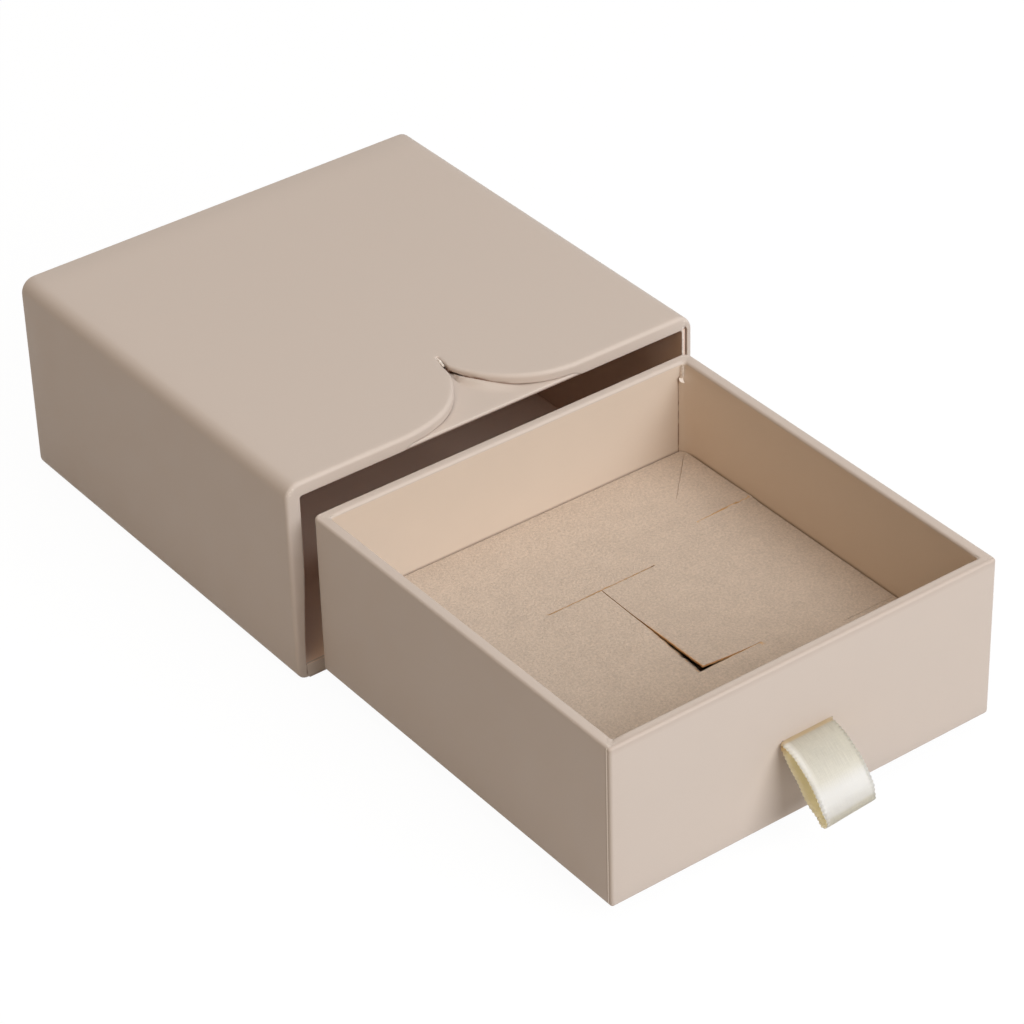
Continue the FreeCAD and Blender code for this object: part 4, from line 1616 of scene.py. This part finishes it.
def band_ring(i, spot, normal):
    """Points round the band's section at a place of its path, and their thread coordinates."""
    s = BAND_LENGTH * i / BAND_STEPS
    out = max(0.0, -spot.x)
    picot = PICOT * (0.5 + 0.5 * math.cos(2 * math.pi * s / PICOT_PITCH))
    shift = SWAY * ease(0.0, 0.45, out) * (0.45 + 0.55 * ease(11.0, 2.0, out))
    lower = ease(0.5, 0.58, i / BAND_STEPS)
    shift += SWAY_BACK * lower * ease(1.0, 4.5, out) * ease(11.2, 8.5, out)
    lean = LEAN * ease(3.0, 11.0, out)
    half = RIBBON_W / 2 - 0.1 - 0.3 * ease(10.3, 11.05, out)
    ring = []
    threads = []
    for layer, order in ((1, range(ACROSS + 1)), (-1, range(ACROSS, -1, -1))):
        for k in order:
            share = 2 * k / ACROSS - 1
            x = share * half + shift
            thick = RIBBON_T / 2 * (1 - 0.35 * abs(share) ** 8)
            if k in (0, ACROSS):
                x += math.copysign(picot * ease(0.3, 1.0, out), share)
                thick = thick * (0.8 + picot * 3)
            cup = CUP * (1 - share ** 2) * ease(1.0, 6.0, out)
            offset = normal * (thick * layer - cup)
            ring.append((x, TRAY_Y0 + spot.x + offset.x, spot.y + offset.y + lean * share))
            threads.append((x, s))
    return ring, threads


def make_ribbon():
    skin = Skin()
    rings = []
    uvs = []
    inside = []
    for i, spot in enumerate(band_line):
        way = (band_line[min(i + 1, BAND_STEPS)] - band_line[max(i - 1, 0)]).normalized()
        ring, threads = band_ring(i, spot, Vector((way.y, -way.x)))
        rings.append(skin.row(ring))
        uvs += threads
        # The inside tone on the loop's inner face outside the slot is painted light, which lightens
        # it where it lies in shade.
        under = 0.0 if spot.x > 0.5 else 1.0
        inside += [0.0] * (ACROSS + 1) + [under] * (ACROSS + 1)
    skin.strips(rings, closed=True)
    skin.faces.append(tuple(rings[0]))
    skin.faces.append(tuple(reversed(rings[-1])))
    obj = make_piece("ribbon_band", skin, weld=False)
    layer = obj.data.uv_layers.new(name="threads")
    for loop in obj.data.loops:
        layer.data[loop.index].uv = uvs[loop.vertex_index]
    put_numbers(obj, "inside", inside)
    return obj


ribbon_band = make_ribbon()


# %% Finish of the ribbon
def selvedge_paint(x, y, z):
    """Whiter threads at both edges."""
    return 0.8 * ease(RIBBON_W / 2 - 0.65, RIBBON_W / 2 - 0.25, abs(x))


def root_paint(x, y, z):
    """Tan tone where the ribbon leaves the slot, on its upper and its lower side."""
    out = TRAY_Y0 - y
    upper = ease(1.15, 0.6, out) * ease(18.0, 18.6, z)
    lower = ease(1.5, 0.5, out) * ease(19.0, 18.6, z)
    return max(0.55 * upper, 0.75 * lower)


def fold_sheen_paint(x, y, z):
    """Painted sheen: brighter, bluer threads near the fold, fading on the fold itself."""
    out = TRAY_Y0 - y
    return 0.75 * ease(7.6, 9.4, out) * ease(11.15, 10.85, out) * ease(8.6, 9.6, z)


paint(ribbon_band, "selvedge", selvedge_paint)
paint(ribbon_band, "root", root_paint)
# The pressed tone is a painted sheen near the fold.
paint(ribbon_band, "pressed", fold_sheen_paint)
dress(ribbon_band, satin_ribbon)
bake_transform(ribbon_band)
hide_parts("ribbon_loop", "ribbon_tails")

# %% [markdown]
# ## The boards and linings that stay
# The other solids already have their right shape: flat boards, flat linings, tape. Each
# one gets the finish of its own stock, with fibre and tooth, because some of them show
# through the mouth, the ribbon's slot or the ring slot. The linings and the drawer's floor
# paper get the lightened finishes, which paint light into the shade inside.

# %% Finishes for the kept solids
NODE_FINISH = {
    "sleeve_back_board": grey_board,
    "sleeve_foot_paper": cover_paper,
    "sleeve_lining_floor": lining_card,
    "sleeve_lining_back": lining_card,
    "drawer_base_board": grey_board,
    "drawer_front_board": grey_board,
    "drawer_back_board": grey_board,
    "drawer_left_board": grey_board,
    "drawer_right_board": grey_board,
    "drawer_corner_tapes": kraft_tape,
    "drawer_floor_paper": inner_paper_lightened,
    "pad_card": pad_board,
}
for node_name, finish in NODE_FINISH.items():
    materials = frame["nodes"][node_name].data.materials
    materials.clear()
    materials.append(finish)
print("solids with a finish:", len(NODE_FINISH))

# %% [markdown]
# ## Table, light and camera
# The box stands on a white table. The table shows almost pure white to the camera and
# keeps a faint shadow, and it still reflects as a white surface would. Two large soft
# daylight lamps stand in front and above. A dim surround and a weak lamp from the left,
# both warmed by what they bounce off, fill the rest. A colour comes out about as written.

# %% Table and surround
TABLE_HALF = 4.0                # metres
TABLE_GREY = (0.62, 0.62, 0.62, 1)
TABLE_GLOW = 1.045
TABLE_SHOWN = 0.92              # share of the glow in what the camera sees
SURROUND = (1.0, 0.86, 0.70, 1)
SURROUND_LEVEL = 0.175
WHITE = (1, 1, 1, 1)


def shown_rays(tree):
    """1 for what the camera sees, straight on or in a gloss or through glass."""
    path = tree.nodes.new("ShaderNodeLightPath")
    either = maths(tree, "MAXIMUM", path.outputs["Is Camera Ray"], path.outputs["Is Glossy Ray"])
    return maths(tree, "MAXIMUM", either, path.outputs["Is Transmission Ray"])


def send_out(tree, end, amount, real, shown):
    """Mix of the shader that lights the scene and the one that the camera sees."""
    inputs = {0: amount, 1: real.outputs[0], 2: shown.outputs[0]}
    mix = place(tree, "ShaderNodeMixShader", inputs)
    place(tree, end, {"Surface": mix.outputs[0]})


def make_table():
    corners = [(x * TABLE_HALF, y * TABLE_HALF, 0) for x, y in ((-1, -1), (1, -1), (1, 1), (-1, 1))]
    mesh = bpy.data.meshes.new("table")
    mesh.from_pydata(corners, [], [(0, 1, 2, 3)])
    table = bpy.data.objects.new("table", mesh)
    bpy.context.scene.collection.objects.link(table)
    material, tree, _ = new_finish("white_table")
    tree.nodes.clear()
    matte = place(tree, "ShaderNodeBsdfDiffuse", {"Color": TABLE_GREY})
    glow = place(tree, "ShaderNodeEmission", {"Strength": TABLE_GLOW})
    seen = maths(tree, "MULTIPLY", shown_rays(tree), TABLE_SHOWN)
    send_out(tree, "ShaderNodeOutputMaterial", seen, matte, glow)
    mesh.materials.append(material)


def make_surround():
    world = bpy.data.worlds.new("surround")
    world.use_nodes = True
    bpy.context.scene.world = world
    tree = world.node_tree
    tree.nodes.clear()
    dim = place(tree, "ShaderNodeBackground", {"Color": SURROUND, "Strength": SURROUND_LEVEL})
    white = place(tree, "ShaderNodeBackground", {"Color": WHITE, "Strength": 1.0})
    send_out(tree, "ShaderNodeOutputWorld", shown_rays(tree), dim, white)


make_table()
make_surround()

# %% Lamps
BOX_MIDDLE = Vector((0, -0.04, 0.015))
DAYLIGHT = (0.918, 0.957, 1.0)
OVERHEAD = (0.95, 0.957, 0.96)
BOUNCED = (1.0, 0.66, 0.34)


def soft_lamp(name, way, distance, size, level, tint):
    """Square lamp that gives a white surface facing it about the level asked for."""
    data = bpy.data.lights.new(name, "AREA")
    data.shape = "SQUARE"
    data.size = size
    data.energy = level * math.pi ** 2 * distance ** 2
    data.color = tint
    lamp = bpy.data.objects.new(name, data)
    bpy.context.scene.collection.objects.link(lamp)
    way = Vector(way).normalized()
    lamp.location = BOX_MIDDLE + way * distance
    lamp.rotation_mode = "QUATERNION"
    lamp.rotation_quaternion = (-way).to_track_quat("-Z", "Y")
    print(name, "power", round(data.energy, 1), "W")


soft_lamp("front_lamp", (0.20, -0.74, 0.49), 1.3, 0.8, 0.82, DAYLIGHT)
soft_lamp("top_lamp", (0.10, -0.10, 1.0), 1.4, 1.5, 0.48, OVERHEAD)
soft_lamp("side_fill", (-0.66, -0.36, 0.57), 1.2, 0.7, 0.13, BOUNCED)

# %% Camera
AZIMUTH = math.radians(-35.90)
ELEVATION = math.radians(34.99)
ROLL_ANGLE = math.radians(-1.76)
TARGET = Vector((0.00557, -0.03832, 0.0120))
DISTANCE = 0.6736
SENSOR = 36.0                   # sensor's width and the lens, in millimetres
LENS = 136.55


def make_camera():
    flat = math.cos(ELEVATION)
    back = Vector((math.sin(AZIMUTH) * flat, -math.cos(AZIMUTH) * flat, math.sin(ELEVATION)))
    right = (-back).cross(Vector((0, 0, 1))).normalized()
    up = right.cross(-back)
    across = right * math.cos(ROLL_ANGLE) + up * math.sin(ROLL_ANGLE)
    upright = up * math.cos(ROLL_ANGLE) - right * math.sin(ROLL_ANGLE)
    data = bpy.data.cameras.new("camera")
    data.sensor_width = SENSOR
    data.lens = LENS
    data.clip_start = 0.01
    data.clip_end = 50.0
    camera = bpy.data.objects.new("camera", data)
    bpy.context.scene.collection.objects.link(camera)
    turn = Matrix((across, upright, back)).transposed()
    camera.matrix_world = Matrix.Translation(TARGET + back * DISTANCE) @ turn.to_4x4()
    bpy.context.scene.camera = camera
    print("camera", round(data.lens, 2), "mm lens")


make_camera()
bpy.context.scene.view_settings.view_transform = "Standard"
